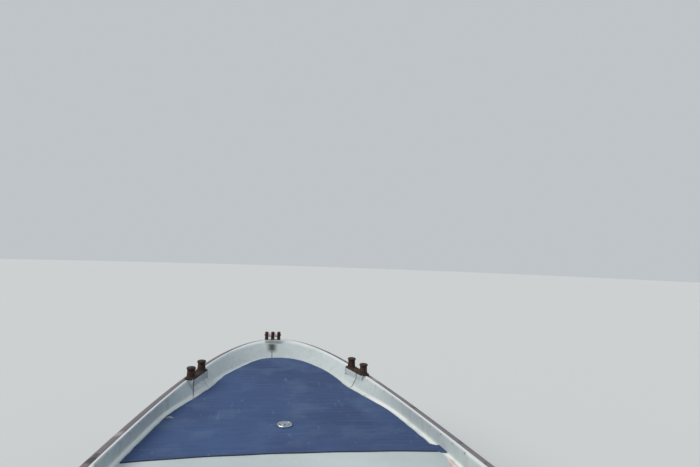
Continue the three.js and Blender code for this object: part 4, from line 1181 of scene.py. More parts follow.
def lip_screws(name, mirror):
    """Screws through the bulwark's inner face, close together by the foredeck."""
    spacing = fit_out().screw_spacing
    seats = []
    for t in even_marks(7.4, 12.9, spacing):
        bulwark = bulwark_at(t)
        up = (bulwark.inner - bulwark.face_foot).normalized()
        axis = up.cross(bulwark.inward.cross(Vector(UP))).normalized()
        at = bulwark.face_foot.lerp(bulwark.inner, 0.86)
        seats.append((at, axis if axis.dot(bulwark.inward) > 0 else -axis))
    for t in even_marks(13.2, STERN_T - 0.6, spacing * 2):
        x = edge_x(LIP, t)
        at = Vector((x, level_half(LIP, x) - 0.0246, lip_z(x) - 0.022))
        seats.append((at, Vector((0, -1, 0.12)).normalized()))
    screw_set(f"lip_screws_{name}", seats, 0.0055, 0.0025, mirror)


# Deck fittings
def rounded_rectangle(length, width, radius, pieces=4):
    """Outline of a rectangle with rounded corners, as (u, v) pairs about its middle."""
    u, v = length / 2 - radius, width / 2 - radius
    outline = []
    for i, (cu, cv) in enumerate(((u, v), (-u, v), (-u, -v), (u, -v))):
        for a in steps(i * math.pi / 2, (i + 1) * math.pi / 2, pieces):
            outline.append((cu + radius * math.cos(a), cv + radius * math.sin(a)))
    return outline


# Turned post of a bollard: radius and height above its plate's foot
POST_PROFILE = ((0.029, 0.005), (0.0335, 0.0085), (0.0305, 0.0125), (0.0292, 0.02), (0.0278, 0.038),
                (0.0264, 0.0565), (0.0268, 0.0618), (0.0305, 0.0655), (0.0316, 0.07), (0.0312, 0.0755),
                (0.027, 0.0793), (0.016, 0.0808), (0.0, 0.0812))
STERN_BOLLARD_X = -3.69
STERN_BOLLARD_Y = 0.79


def double_bollard(name, matrix, seed):
    """Cast plate with two mushroom-headed posts, bolted down."""
    plate = Form().prism(rounded_rectangle(0.26, 0.066, 0.018), 0, 0.008, 0.002)
    posts = [Form().turning(POST_PROFILE, (x, 0, 0), sides=28) for x in (-0.088, 0.088)]
    bollard = carved(plate, *posts, operation="UNION").moved(matrix)
    bollard.piece(f"{name}_casting", rusted_iron(), nodes=[name])
    bolts = Form()
    random = Random(seed)
    for x, y in ((-0.035, 0.02), (-0.035, -0.02), (0.035, 0.02), (0.035, -0.02)):
        turn = random.uniform(0, 1)
        angles = [turn + i * math.pi / 3 for i in range(6)]
        hexagon = [(0.0065 * math.cos(a), 0.0065 * math.sin(a)) for a in angles]
        bolts.prism(hexagon, 0.0078, 0.0125, 0.0008, matrix @ Matrix.Translation((x, y, 0)))
    bolts.piece(f"{name}_bolts", rusted_iron())


# Stem head: a turned post and a roller's half section, and the height of the pin over the plate
STEM_POST_PROFILE = ((0.015, 0.0095), (0.0185, 0.0105), (0.0158, 0.016), (0.0142, 0.045), (0.0138, 0.0675),
                     (0.0158, 0.0695), (0.0162, 0.077), (0.012, 0.0815), (0.0, 0.0822))
ROLLER_PROFILE = ((0.0095, -0.0122), (0.0205, -0.0122), (0.022, -0.0105), (0.0185, -0.004), (0.0175, 0.0),
                  (0.0185, 0.004), (0.022, 0.0105), (0.0205, 0.0122), (0.0095, 0.0122))
ROLLER_HEIGHT = 0.053


def stem_head():
    """Painted plate at the stem head with three rusty posts, two rollers between them and their pin."""
    matrix = seat_matrix(STEM_HEAD_SEAT, 0.0005)
    plate = Form().prism(rounded_rectangle(0.064, 0.144, 0.014), 0, 0.010, 0.0015).moved(matrix)
    plate.piece("stem_head_plate", deck_gelcoat(), nodes=["stem_head"])
    posts = [Form().turning(STEM_POST_PROFILE, (0, y, 0), sides=20) for y in (-0.055, 0.0, 0.055)]
    pin = Form().turning(((0.0075, -0.0745), (0.0075, 0.0745)), (0, 0, ROLLER_HEIGHT), ACROSS, 12)
    carved(pin, *posts, operation="UNION").moved(matrix).piece("stem_head_posts", rusted_iron())
    rollers = Form()
    for y in (-0.0275, 0.0275):
        rollers.turning(ROLLER_PROFILE, (0, y, ROLLER_HEIGHT), ACROSS, 28)
    rollers.moved(matrix).piece("stem_head_rollers", nylon())
    bolts = Form()
    for x in (-0.022, 0.022):
        for y in (-0.0275, 0.0275):
            bolts.screw_head((x, y, 0.0102), UP, 0.006, 0.003)
    bolts.moved(matrix).piece("stem_head_bolts", steel())


CLEAT_X = 1.47
CLEAT_Y = 0.78


def horn_cleat(name, side):
    """Moulded horn cleat on two legs."""
    place = Matrix.Translation((CLEAT_X, side * CLEAT_Y, deck_z(CLEAT_X) + 0.002))
    base = Form().prism(rounded_rectangle(0.14, 0.044, 0.02), 0, 0.010, 0.003)
    leg = ((0.012, 0.004), (0.0215, 0.0095), (0.0165, 0.017), (0.0145, 0.03), (0.0155, 0.052), (0.006, 0.056))
    legs = [Form().turning(leg, (x, 0, 0), sides=20) for x in (-0.035, 0.035)]
    path, radii = [], []
    for x in steps(-0.104, 0.104, 24):
        path.append((x, 0, 0.0565 + 0.008 * (x / 0.105) ** 2))
        tip = math.sqrt(max(0.02, 1 - (abs(x) / 0.1045) ** 4))
        radii.append(0.0135 * tip * (1 - 0.3 * (abs(x) / 0.105) ** 2))
    horn = Form().bar(path, radii, 16)
    cleat = carved(base, *legs, horn, operation="UNION").moved(place)
    cleat.piece(f"{name}_moulding", nylon(), nodes=[name])
    seats = [(place @ Vector((x, 0, 0.0105)), UP) for x in (-0.056, 0.0, 0.056)]
    screw_set(f"{name}_screws", seats, 0.0055, 0.002)


def on_panel(x, y, z):
    """Place of a fitting on the grit paint, tipped up the sheer."""
    return Matrix.Translation((x, y, z + PANEL_THICKNESS)) @ Matrix.Rotation(-sheer_slope(x), 4, "Y")


DECK_PLATE_X = 2.21


def deck_plate():
    """Screw-in round deck plate with two key holes and a finger bar."""
    matrix = on_panel(DECK_PLATE_X, 0, deck_z(DECK_PLATE_X) + DECK_CAMBER)
    ring = ((0.046, 0.001), (0.046, 0.004), (0.043, 0.0075), (0.036, 0.008), (0.0345, 0.006),
            (0.0335, 0.0035), (0.031, 0.0035), (0.030, 0.0085), (0.029, 0.0105), (0.012, 0.0115),
            (0.0, 0.0115))
    plate = Form().turning(ring, (0, 0, 0), sides=40)
    bar = Form().block((-0.022, -0.004, 0.008), (0.022, 0.004, 0.0162), 0.003, pieces=3)
    holes = [Form().turning(((0.0035, 0.008), (0.0035, 0.02)), (x, 0, 0), sides=14) for x in (-0.024, 0.024)]
    whole = carved(carved(plate, bar, operation="UNION"), *holes).moved(matrix)
    whole.piece("deck_plate_casting", chromed_bronze(), nodes=["deck_plate"])


PAD_EYE_PLACE = (2.39, 0.682)
PAD_EYE_TURN = 1.42


def pad_eye():
    """Small low steel eye on the foredeck, near the port bulwark."""
    x, y = PAD_EYE_PLACE
    foot_half = foot_at(lip_row(x)).y
    matrix = on_panel(x, y, deck_surface(x, y, foot_half)) @ Matrix.Rotation(PAD_EYE_TURN, 4, "Z")
    form = Form().prism(rounded_rectangle(0.044, 0.02, 0.0095), 0.0002, 0.003, 0.0007)
    eye = [(0.012 * math.cos(a), 0, 0.002 + 0.0065 * math.sin(a)) for a in steps(0, math.pi, 18)]
    form = carved(form, Form().bar(eye, 0.0027, 10), operation="UNION")
    for u in (-0.0175, 0.0175):
        form.screw_head((u, 0, 0.0032), UP, 0.0035, 0.0012)
    form.moved(matrix).piece("pad_eye_port", chromed_bronze())


def drains():
    """Pale plastic drain rings in the foredeck's hollow: one under each bollard and one by the stem."""
    ring = ((0.0105, -0.002), (0.0105, 0.0012), (0.009, 0.0026), (0.0052, 0.0026), (0.0042, -0.001),
            (0.0, -0.001))
    form = Form()
    for t, side in ((8.96, 1), (8.96, -1), (1.18, 1)):
        bulwark = bulwark_at(t)
        at = bulwark.foot.lerp(bulwark.face_foot, 0.35)
        form.turning(ring, (at.x, at.y * side, at.z), sides=20)
    form.piece("deck_drains", nylon())


# Hold
FIT = SHELL_THICKNESS + 0.0015
HOLD_FRONT_X = 1.56
HOLD_BACK_X = -1.6
BULKHEAD_THICKNESS = 0.03
RIB_DEPTH = 0.038
# SIDEWAYS lays a prism's outline in the plane of x and z; FACING lays it in the plane of y and z
SIDEWAYS = Matrix(((1, 0, 0, 0), (0, 0, 1, 0), (0, 1, 0, 0), (0, 0, 0, 1)))
FACING = Matrix(((0, 0, 1, 0), (1, 0, 0, 0), (0, 1, 0, 0), (0, 0, 0, 1)))


def inner_outline(x, high):
    """Outline of the hull's inside at an x, from the keel up to a height."""
    low = level_z(KEEL, x) + FIT * 1.15 + 0.004
    port = [Vector((x, inner_half(x, z, FIT), z)) for z in steps(low, high, 26)]
    return port + mirrored(port)[::-1]


def bulkhead(x, thickness, high):
    """Panel across the boat, shaped to the hull's inside."""
    return Form().between([inner_outline(at, high) for at in (x, x + thickness)], 0.002, 1)


DOOR_Z = 0.31
DOOR_HALF = 0.26
DOOR_HALF_HEIGHT = 0.19
DOOR_HINGE = Vector((1.534, 0.29, DOOR_Z))
GRIP_Y = -0.195
GRIP_HEIGHTS = (0.271, 0.351)


def knuckles(starts, length):
    """Profile of a hinge's barrel, 12 mm thick, with a groove between its knuckles."""
    profile = []
    for start in starts:
        profile += [(0.0052, start), (0.006, start + 0.001), (0.006, start + length - 0.001),
                    (0.0052, start + length)]
    return profile


def fore_bulkhead():
    """Bulkhead at the front of the hold, with the doorway to the forepeak and its rubber seal."""
    outline = rounded_rectangle(2 * DOOR_HALF, 2 * DOOR_HALF_HEIGHT, 0.03)
    place = Matrix.Translation((0, 0, DOOR_Z)) @ FACING
    doorway = Form().prism(outline, HOLD_FRONT_X - 0.05, HOLD_FRONT_X + 0.1, 0, place)
    panel = carved(bulkhead(HOLD_FRONT_X, BULKHEAD_THICKNESS, joint_z(HOLD_FRONT_X) - 0.003), doorway)
    panel.piece("fore_bulkhead_panel", inner_gelcoat(), nodes=["fore_bulkhead"])
    rim = rounded_rectangle(2 * DOOR_HALF + 0.018, 2 * DOOR_HALF_HEIGHT + 0.018, 0.036)
    seal = Form().hoop([place @ Vector((u, v, HOLD_FRONT_X - 0.0022)) for u, v in rim], AHEAD, 0.0024)
    seal.piece("doorway_seal", sealant())


def forepeak_door():
    """Moulded door with a sunk panel, hung on its port edge, and its steel grip."""
    place = Matrix.Translation((0, -0.001, DOOR_Z)) @ FACING
    leaf = Form().prism(rounded_rectangle(0.558, 0.416, 0.03), 1.536, 1.554, 0.004, place, 3)
    sunk = Form().prism(rounded_rectangle(0.45, 0.31, 0.04, 6), 1.52, 1.5395, 0.003, place)
    leaf = carved(leaf, sunk)
    leaf.piece("forepeak_door_leaf", inner_gelcoat(), body="door", nodes=["forepeak_door"])
    x, y, z = DOOR_HINGE
    hinge = Form().turning(knuckles(steps(-0.14, 0.112, 9), 0.028), DOOR_HINGE, sides=14)
    hinge.block((x - 0.002, 0.23, z - 0.13), (x + 0.0018, y - 0.001, z + 0.13), 0.0008)
    for height in steps(-0.11, 0.11, 4):
        hinge.screw_head((x - 0.0021, 0.245, z + height), AFT, 0.0045)
    low, high = GRIP_HEIGHTS
    path = [Vector((at, GRIP_Y, height)) for at, height in
            ((1.537, low), (1.512, low), (1.512, high), (1.537, high))]
    hinge.bar(rounded(path, (0.014, 0.014), 6), 0.0048, 12)
    for height in GRIP_HEIGHTS:
        hinge.turning(((0.011, 0), (0.011, 0.002), (0.007, 0.004)), (1.5365, GRIP_Y, height), AFT, 16)
    hinge.piece("door_hinge_and_grip", steel(), body="door")


def door_hinge_leaf():
    """Fixed leaf of the door's hinge, screwed to the bulkhead."""
    x, y, z = DOOR_HINGE
    leaf = Form().block((x + 0.022, y - 0.002, 0.12), (HOLD_FRONT_X - SEAM, y + 0.034, 0.5), 0.001)
    ends = []
    knuckle = ((0.0054, -0.019), (0.006, -0.018), (0.006, 0.018), (0.0054, 0.019))
    for end in (z - 0.165, z + 0.165):
        ends.append(Form().turning(knuckle, (x, y, end), sides=14))
        ends.append(Form().block((x, y - 0.003, end - 0.0188), (x + 0.0235, y + 0.003, end + 0.0188), 0.0008))
    leaf = carved(leaf, *ends, operation="UNION")
    for height in steps(0.15, 0.47, 4):
        leaf.screw_head((x + 0.0219, y + 0.018, height), AFT, 0.0045)
    leaf.piece("door_hinge_fixed_leaf", steel(), nodes=["door_hinge_leaf"])


# No floor board is narrower than this, and none is needed beyond this half breadth
LEAST_BOARD = 0.025
FLOOR_HALF = 0.8


def floor_boards(name, node, start_x, end_x):
    """Boards laid along the boat, the outer ones cut to the hull's inside."""
    gap = fit_out().board_gap
    pitch = fit_out().board_width + gap
    low = FLOOR_TOP - FLOOR_THICKNESS
    form = Form()
    for i in range(int(FLOOR_HALF / pitch) + 1):
        near, far = i * pitch + gap / 2, (i + 1) * pitch - gap / 2
        edges = [(x, min(far, inner_half(x, low, FIT) - 0.002)) for x in steps(start_x, end_x, 60)]
        rows = []
        for x, edge in edges:
            if edge > near + LEAST_BOARD:
                corners = [Vector((x, y, z)) for y, z in
                           ((near, low), (near, FLOOR_TOP), (edge, FLOOR_TOP), (edge, low))]
                rows.append(rounded(corners, (0.0025, 0.0025), 2))
        if len(rows) > 1:
            form.between(rows)
            form.between([mirrored(row) for row in rows])
    form.piece(f"{name}_boards", boards(), nodes=[node])


RIB_PLACES = (1.25, 0.73, 0.21, -0.31, -0.83, -1.35)
# Sections of a rib and of the stringer: along the boat or up, and out from the hull's inside
RIB_SECTION = ((-0.027, 0), (-0.021, RIB_DEPTH), (0.021, RIB_DEPTH), (0.027, 0))
STRINGER_SECTION = ((0.3, 0), (0.304, RIB_DEPTH - 0.001), (0.346, RIB_DEPTH - 0.001), (0.35, 0))


def side_frames(name, side):
    """Glassed ribs and a stringer inside the topsides."""
    def inside(x, z, out):
        return Vector((x, (inner_half(x, z, FIT) - out) * side, z))
    ribs = []
    for middle in RIB_PLACES:
        rows = []
        for z in steps(FLOOR_TOP + 0.001, joint_z(0) - 0.08, 14):
            corners = [inside(middle + along, z, out) for along, out in RIB_SECTION]
            rows.append(rounded(corners, (0.008, 0.008), 3))
        ribs.append(Form().between(rows))
    rows = []
    for x in steps(-1.52, 1.42, 60):
        rows.append(rounded([inside(x, z, out) for z, out in STRINGER_SECTION], (0.007, 0.007), 3))
    stringer = Form().between(rows)
    carved(stringer, *ribs, operation="UNION").piece(f"{name}_ribs", inner_gelcoat(), nodes=[name])


THWART_HALF = 0.8155
THWART_TOP = 0.6
PLANK_FOOT = 0.572


def thwart():
    """Two planks across the boat on bearers."""
    half = THWART_HALF
    planks = Form()
    for x in (-1.78, -1.658):
        planks.block((x, -half, PLANK_FOOT), (x + 0.118, half, THWART_TOP), 0.005, pieces=3)
    planks.piece("thwart_planks", boards("across"), nodes=["mid_thwart"])
    bearers = Form()
    for x in (-1.772, -1.624, -1.578):
        bearers.block((x, -half + 0.01, 0.5305), (x + 0.028, half - 0.01, PLANK_FOOT - SEAM), 0.003)
    bearers.piece("thwart_bearers", boards("across"))
    seats = [((x, y, THWART_TOP), UP)
             for x in (-1.75, -1.693, -1.628, -1.571) for y in (-0.78, -0.26, 0.26, 0.78)]
    screw_set("thwart_screws", seats, 0.005, 0.0012)


# Helm
CONSOLE_FRONT = -1.792
CONSOLE_BACK = -2.15
CONSOLE_PORT = -0.15
CONSOLE_STARBOARD = -0.65
CONSOLE_TOP = 1.0
DASH_TOP = Vector((CONSOLE_FRONT - 0.12, 0, CONSOLE_TOP))
DASH_FOOT = Vector((CONSOLE_BACK, 0, 0.9))
DASH_NORMAL = Vector((DASH_FOOT.z - DASH_TOP.z, 0, DASH_TOP.x - DASH_FOOT.x)).normalized()
WHEEL_HUB = Vector((CONSOLE_BACK - 0.07, -0.4, 0.8))
WHEEL_RADIUS = 0.165
LEVER_PIVOT = Vector((-2.02, CONSOLE_PORT + 0.06, 0.845))
LEVER_LENGTH = 0.165


def helm_console():
    """Moulded console with a sloping dash and an open shelf at its back."""
    outline = ((CONSOLE_FRONT, FLOOR_TOP + SEAM), (CONSOLE_FRONT, CONSOLE_TOP), (DASH_TOP.x, CONSOLE_TOP),
               (CONSOLE_BACK, 0.9), (CONSOLE_BACK, 0.69), (CONSOLE_BACK + 0.07, 0.65),
               (CONSOLE_BACK + 0.07, FLOOR_TOP + SEAM))
    moulding = Form().prism(outline, CONSOLE_STARBOARD, CONSOLE_PORT, 0.014, SIDEWAYS, 3)
    shelf = Form().block((CONSOLE_BACK - 0.1, CONSOLE_STARBOARD + 0.02, 0.07),
                         (CONSOLE_FRONT - 0.02, CONSOLE_PORT - 0.02, 0.63), 0.022, pieces=3)
    vents = [Form().block((-1.83, -0.52, z), (-1.78, -0.28, z + 0.008), 0.003) for z in steps(0.42, 0.5, 4)]
    carved(moulding, shelf, *vents).piece("console_moulding", inner_gelcoat(), nodes=["helm_console"])


def dash_place(share, y, lift=0.0):
    """Place on the sloping dash, with +Z square to it."""
    return turned_to(DASH_NORMAL, DASH_TOP.lerp(DASH_FOOT, share) + Vector((0, y, 0)) + DASH_NORMAL * lift)


BEZEL_PROFILE = ((0.037, -0.001), (0.0415, 0.0005), (0.0415, 0.006), (0.039, 0.008), (0.0355, 0.006),
                 (0.0345, 0.0025))
KEY_PROFILE = ((0.013, 0.0035), (0.013, 0.007), (0.009, 0.009), (0.009, 0.011))


def dash_fittings():
    """Three dials, a row of switches and the key switch on the dash."""
    bezels, dials, needles = Form(), Form(), Form()
    for y, turn in ((-0.275, 0.6), (-0.4, 2.2), (-0.525, 1.3)):
        place = dash_place(0.36, y)
        bezels.between([circle(r, 32, z, place) for r, z in BEZEL_PROFILE])
        dials.between([circle(0.034, 32, z, place) for z in (0.0026, 0.0034)])
        pointer = place @ Matrix.Rotation(turn, 4, "Z")
        needles.block((-0.004, -0.0008, 0.0036), (0.027, 0.0008, 0.0046), 0.0002, pointer, 1)
        for mark in steps(-2.2, 2.2, 8):
            spoke = place @ Matrix.Rotation(mark, 4, "Z")
            needles.block((0.026, -0.0006, 0.0035), (0.031, 0.0006, 0.0039), 0.0001, spoke, 1)
    bezels.piece("dial_bezels", steel())
    dials.piece("dial_faces", black_plastic())
    needles.piece("dial_needles", nylon())
    row = 0.78
    panel = Form().block((-0.026, -0.17, 0), (0.026, 0.17, 0.0035), 0.0015, dash_place(row, WHEEL_HUB.y))
    for y in steps(-0.13, 0.09, 5):
        rocker = dash_place(row, WHEEL_HUB.y + y, 0.0036) @ Matrix.Rotation(0.12, 4, "Y")
        panel.block((-0.014, -0.008, -0.002), (0.014, 0.008, 0.006), 0.002, rocker)
    panel.piece("switch_panel", black_plastic())
    place = dash_place(row, -0.265)
    key = Form().between([circle(r, 20, z, place) for r, z in KEY_PROFILE])
    key.block((-0.0015, -0.008, 0.0105), (0.0015, 0.008, 0.03), 0.0006, place)
    key.piece("key_switch", steel())


SCREEN_TOP = 1.229
SCREEN_THICKNESS = 0.0065
TUBE_TOP = 1.236


def screen_edge(height, aft):
    """A height on the windscreen's sloping front face with its x, moved aft by a distance."""
    lean = (height - CONSOLE_TOP) / 0.23
    return CONSOLE_FRONT - 0.02 - 0.07 * lean - aft, height


def windscreen():
    """Clear sheet in a bent steel tube frame."""
    low = CONSOLE_TOP + SEAM
    outline = (screen_edge(low, 0), screen_edge(SCREEN_TOP, 0), screen_edge(SCREEN_TOP, SCREEN_THICKNESS),
               screen_edge(low, SCREEN_THICKNESS))
    sheet = Form().prism(outline, CONSOLE_STARBOARD + 0.017, CONSOLE_PORT - 0.017, 0.0015, SIDEWAYS)
    sheet.piece("screen_sheet", acrylic(), nodes=["windscreen"])
    starboard, port = CONSOLE_STARBOARD + 0.008, CONSOLE_PORT - 0.008
    corners = ((starboard, CONSOLE_TOP), (starboard, TUBE_TOP), (port, TUBE_TOP), (port, CONSOLE_TOP))
    path = [Vector((screen_edge(z, -0.004)[0], y, z)) for y, z in corners]
    frame_tube = Form().bar(rounded(path, (0.045, 0.045), 7), 0.0085, 14)
    for foot in (path[0], path[3]):
        frame_tube.turning(((0.019, 0.0), (0.019, 0.003), (0.011, 0.006)), foot, sides=20)
    frame_tube.piece("screen_frame", steel())


def steering_wheel():
    """Padded three-spoke wheel with finger grips, on its own hub."""
    angles = around(96)
    rim = [WHEEL_HUB + Vector((0, WHEEL_RADIUS * math.cos(a), WHEEL_RADIUS * math.sin(a))) for a in angles]
    grips = [0.0118 + 0.0011 * math.cos(24 * a) for a in angles]
    wheel = Form().hoop(rim, AHEAD, grips, 14)
    wheel.piece("wheel_rim", black_plastic(), body="wheel", nodes=["steering_wheel"])
    spokes = Form()
    for i in range(3):
        a = math.pi / 6 + i * 2 * math.pi / 3
        out, across = Vector((0, -math.sin(a), math.cos(a))), Vector((0, math.cos(a), math.sin(a)))
        rows = []
        for share in steps(0, 1, 10):
            reach = 0.02 + share * (WHEEL_RADIUS - 0.026)
            middle = WHEEL_HUB + out * reach - Vector((0.008 * (1 - share), 0, 0))
            half = 0.016 - 0.008 * math.sin(share * math.pi / 1.6)
            rows.append([middle + across * half * math.cos(b) + Vector((0.0035 * math.sin(b), 0, 0))
                         for b in around(12)])
        spokes.between(rows)
    spokes.piece("wheel_spokes", steel(), body="wheel")
    hub = ((0.018, -0.014), (0.03, -0.012), (0.033, 0.0), (0.031, 0.01), (0.022, 0.0145), (0.0, 0.016))
    Form().turning(hub, WHEEL_HUB, AFT, 32).piece("wheel_hub", black_plastic(), body="wheel")
    shaft = ((0.034, 0.0), (0.034, 0.006), (0.024, 0.011), (0.0165, 0.014), (0.0155, 0.034), (0.0135, 0.0475))
    at = (CONSOLE_BACK - SEAM, WHEEL_HUB.y, WHEEL_HUB.z)
    Form().turning(shaft, at, AFT, 28).piece("helm_shaft_and_flange", steel(), nodes=["helm_shaft"])


def throttle():
    """Side-mounted throttle box with its lever."""
    x, y = LEVER_PIVOT.xy
    case = Form().block((x - 0.06, CONSOLE_PORT + SEAM, 0.77), (x + 0.06, y - 0.015 - SEAM, 0.9), 0.012,
                        pieces=4)
    case.piece("throttle_case", casting_paint(), nodes=["throttle_box"])
    boss = ((0.022, -0.009), (0.0235, -0.006), (0.0235, 0.004), (0.019, 0.009), (0.0, 0.01))
    lever = Form().turning(boss, LEVER_PIVOT, ACROSS, 24)
    rows = []
    for share in steps(0, 1, 10):
        middle = LEVER_PIVOT + Vector((0, 0.006 * share, LEVER_LENGTH * share))
        half = 0.011 - 0.004 * share
        rows.append([middle + Vector((half * math.cos(b), 0.0045 * math.sin(b), 0)) for b in around(12)])
    lever.between(rows)
    lever.piece("throttle_lever_arm", steel(), nodes=["throttle_lever"])
    knob = ((0.012, -0.037), (0.0165, -0.032), (0.0175, -0.012), (0.0165, 0.008), (0.012, 0.013),
            (0.0, 0.0145))
    grip = Form().turning(knob, LEVER_PIVOT + Vector((0, 0, LEVER_LENGTH)), ACROSS, 24)
    grip.piece("throttle_knob", black_plastic())


# Stern bench, deck and well
BENCH_FRONT = -2.83
BENCH_BACK = -3.238
BENCH_HALF = 0.56
BENCH_TOP = 0.44
LID_SLATS = 4
LID_HINGE_X = BENCH_BACK + 0.008
LID_HINGE_Z = BENCH_TOP + 0.032
WELL_FRONT = -3.33
WELL_BACK = -3.872
WELL_HALF = 0.38
WELL_FLOOR = 0.212


def bench_locker():
    """Open-topped locker with vent slots in its front."""
    outer = Form().block((BENCH_BACK, -BENCH_HALF, FLOOR_TOP + SEAM), (BENCH_FRONT, BENCH_HALF, BENCH_TOP),
                         0.008, pieces=3)
    wall = 0.018
    inner = Form().block((BENCH_BACK + wall, -BENCH_HALF + wall, FLOOR_TOP + wall),
                         (BENCH_FRONT - wall, BENCH_HALF - wall, BENCH_TOP + 0.05), 0.01)
    vents = []
    for y in (-0.4, 0.22):
        for z in steps(0.2, 0.28, 4):
            low, high = (BENCH_FRONT - 0.04, y, z), (BENCH_FRONT + 0.02, y + 0.18, z + 0.009)
            vents.append(Form().block(low, high, 0.003))
    carved(outer, inner, *vents).piece("locker_moulding", inner_gelcoat(), nodes=["bench_locker"])


def bench_lid():
    """Slatted lid on battens, with the moving part of its long hinge."""
    slats = Form()
    start, end = BENCH_BACK + 0.022, BENCH_FRONT + 0.02
    gap, half = 0.004, BENCH_HALF + 0.012
    width = (end - start + gap) / LID_SLATS
    for i in range(LID_SLATS):
        x = start + i * width
        slats.block((x, -half, BENCH_TOP + 0.006), (x + width - gap, half, BENCH_TOP + 0.028), 0.005,
                    pieces=3)
    slats.piece("lid_slats", boards("across"), body="bench_lid", nodes=["bench_lid"])
    battens = Form()
    for y in (-0.42, 0.0, 0.42):
        battens.block((BENCH_BACK + 0.05, y - 0.03, BENCH_TOP - 0.012),
                      (BENCH_FRONT - 0.05, y + 0.03, BENCH_TOP + 0.0055), 0.003)
    battens.piece("lid_battens", boards(), body="bench_lid")
    x, z = LID_HINGE_X, LID_HINGE_Z
    hinge = Form().turning(knuckles(steps(-0.47, 0.423, 19), 0.047), (x, 0, z), ACROSS, 14)
    hinge.block((x, -0.46, z - 0.002), (BENCH_BACK + 0.06, 0.46, z + 0.002), 0.0008)
    hinge.block((BENCH_BACK + 0.024, -0.455, BENCH_TOP + 0.0275), (BENCH_BACK + 0.058, 0.455, z - 0.0019),
                0.0005)
    for y in steps(-0.42, 0.42, 7):
        hinge.screw_head((BENCH_BACK + 0.045, y, z + 0.0021), UP, 0.0045)
    hinge.piece("lid_hinge", steel(), body="bench_lid")


def bench_hinge_leaf():
    """Fixed leaf of the lid's hinge, behind the locker."""
    x, z = LID_HINGE_X, LID_HINGE_Z
    half = BENCH_HALF - 0.02
    leaf = Form().block((BENCH_BACK - 0.004, -half, BENCH_TOP - 0.05), (BENCH_BACK - SEAM, half, z), 0.001)
    knuckle = ((0.0054, -0.025), (0.006, -0.024), (0.006, 0.024), (0.0054, 0.025))
    ends = []
    for y in (-0.505, 0.505):
        ends.append(Form().turning(knuckle, (x, y, z), ACROSS, 14))
        low, high = (BENCH_BACK - 0.003, y - 0.0248, z - 0.003), (x, y + 0.0248, z + 0.003)
        ends.append(Form().block(low, high, 0.0008))
    carved(leaf, *ends, operation="UNION").piece("lid_hinge_fixed_leaf", steel(), nodes=["bench_hinge_leaf"])


def aft_deck():
    """Deck panel round the splash well."""
    front, back = BENCH_BACK - 0.012, STERN_X + 0.006
    half = {x: level_half(LIP, x) - SIDE_DECK_WIDTH - 0.003 for x in (front, back)}
    corners = [(front, -half[front]), (back, -half[back]), (back, -WELL_HALF), (WELL_FRONT, -WELL_HALF),
               (WELL_FRONT, WELL_HALF), (back, WELL_HALF), (back, half[back]), (front, half[front])]
    run = rounded([Vector((x, y, 0)) for x, y in corners] + [Vector((*corners[0], 0))],
                  (0.01, 0.02, 0.05, 0.05, 0.02, 0.01, 0.01), 6)
    outline = [(p.x, p.y) for p in run[:-1]]
    panel = Form().prism(outline, deck_z(0) - 0.0175, deck_z(0), 0.005, pieces=3)
    panel.piece("aft_deck_panel", deck_gelcoat(), nodes=["aft_deck"])


def well_back(z):
    """x of the well's open back, which leans with the transom."""
    return WELL_BACK + TRANSOM_RAKE * (NOTCH_Z - z) + 0.001


def splash_well():
    """Moulded tray in front of the motor, open at its back above the transom's cut-out."""
    top = deck_z(0) - 0.018
    wall = 0.012

    def tray(inset, low, high, behind, edge):
        front, half = WELL_FRONT - inset, WELL_HALF - 0.001 - inset
        outline = ((front, low), (front, high),
                   (well_back(high) - behind, high), (well_back(low) - behind, low))
        return Form().prism(outline, -half, half, edge, SIDEWAYS, 4)
    shell = carved(tray(0, WELL_FLOOR - wall, top, 0, 0.006), tray(wall, WELL_FLOOR, top + 0.06, 0.04, 0.025))
    shell.piece("well_moulding", inner_gelcoat(), nodes=["splash_well"])
    drain = ((0.022, 0.0), (0.022, 0.002), (0.019, 0.003), (0.013, 0.0012), (0.0, 0.001))
    outlets = Form()
    for y in (-0.27, 0.27):
        outlets.turning(drain, (-3.79, y, WELL_FLOOR))
    outlets.piece("well_drains", steel())


def transom_pad():
    """Varnished pad that the motor's clamp bears on, bolted through."""
    low, back = 0.1, 0.013
    corners = ((low, 0.001), (NOTCH_Z, 0.001), (NOTCH_Z, back), (low, back))
    outline = [(transom_x(z) - out, z) for z, out in corners]
    pad = Form().prism(outline, -0.15, 0.15, 0.003, SIDEWAYS)
    pad.piece("transom_pad_board", boards("across"), nodes=["transom_pad"])
    bolt = ((0.011, 0), (0.011, 0.0015), (0.0075, 0.002), (0.0075, 0.006), (0.0, 0.0075))
    bolts = Form()
    for y in (-0.135, 0.135):
        for z in (0.13, 0.215, 0.3):
            bolts.turning(bolt, (transom_x(z) - back, y, z), (-1, 0, -TRANSOM_RAKE), 12)
    bolts.piece("transom_pad_bolts", steel())


# Outboard motor: the tilt hinge at the clamp, the upright steering axis and the propeller's shaft
TILT = Vector((-3.968, 0, 0.418))
STEER_X = -4.082
SHAFT_Z = -0.372
CAVITATION_Z = -0.18
CLAMP_SCREW_Z = 0.275


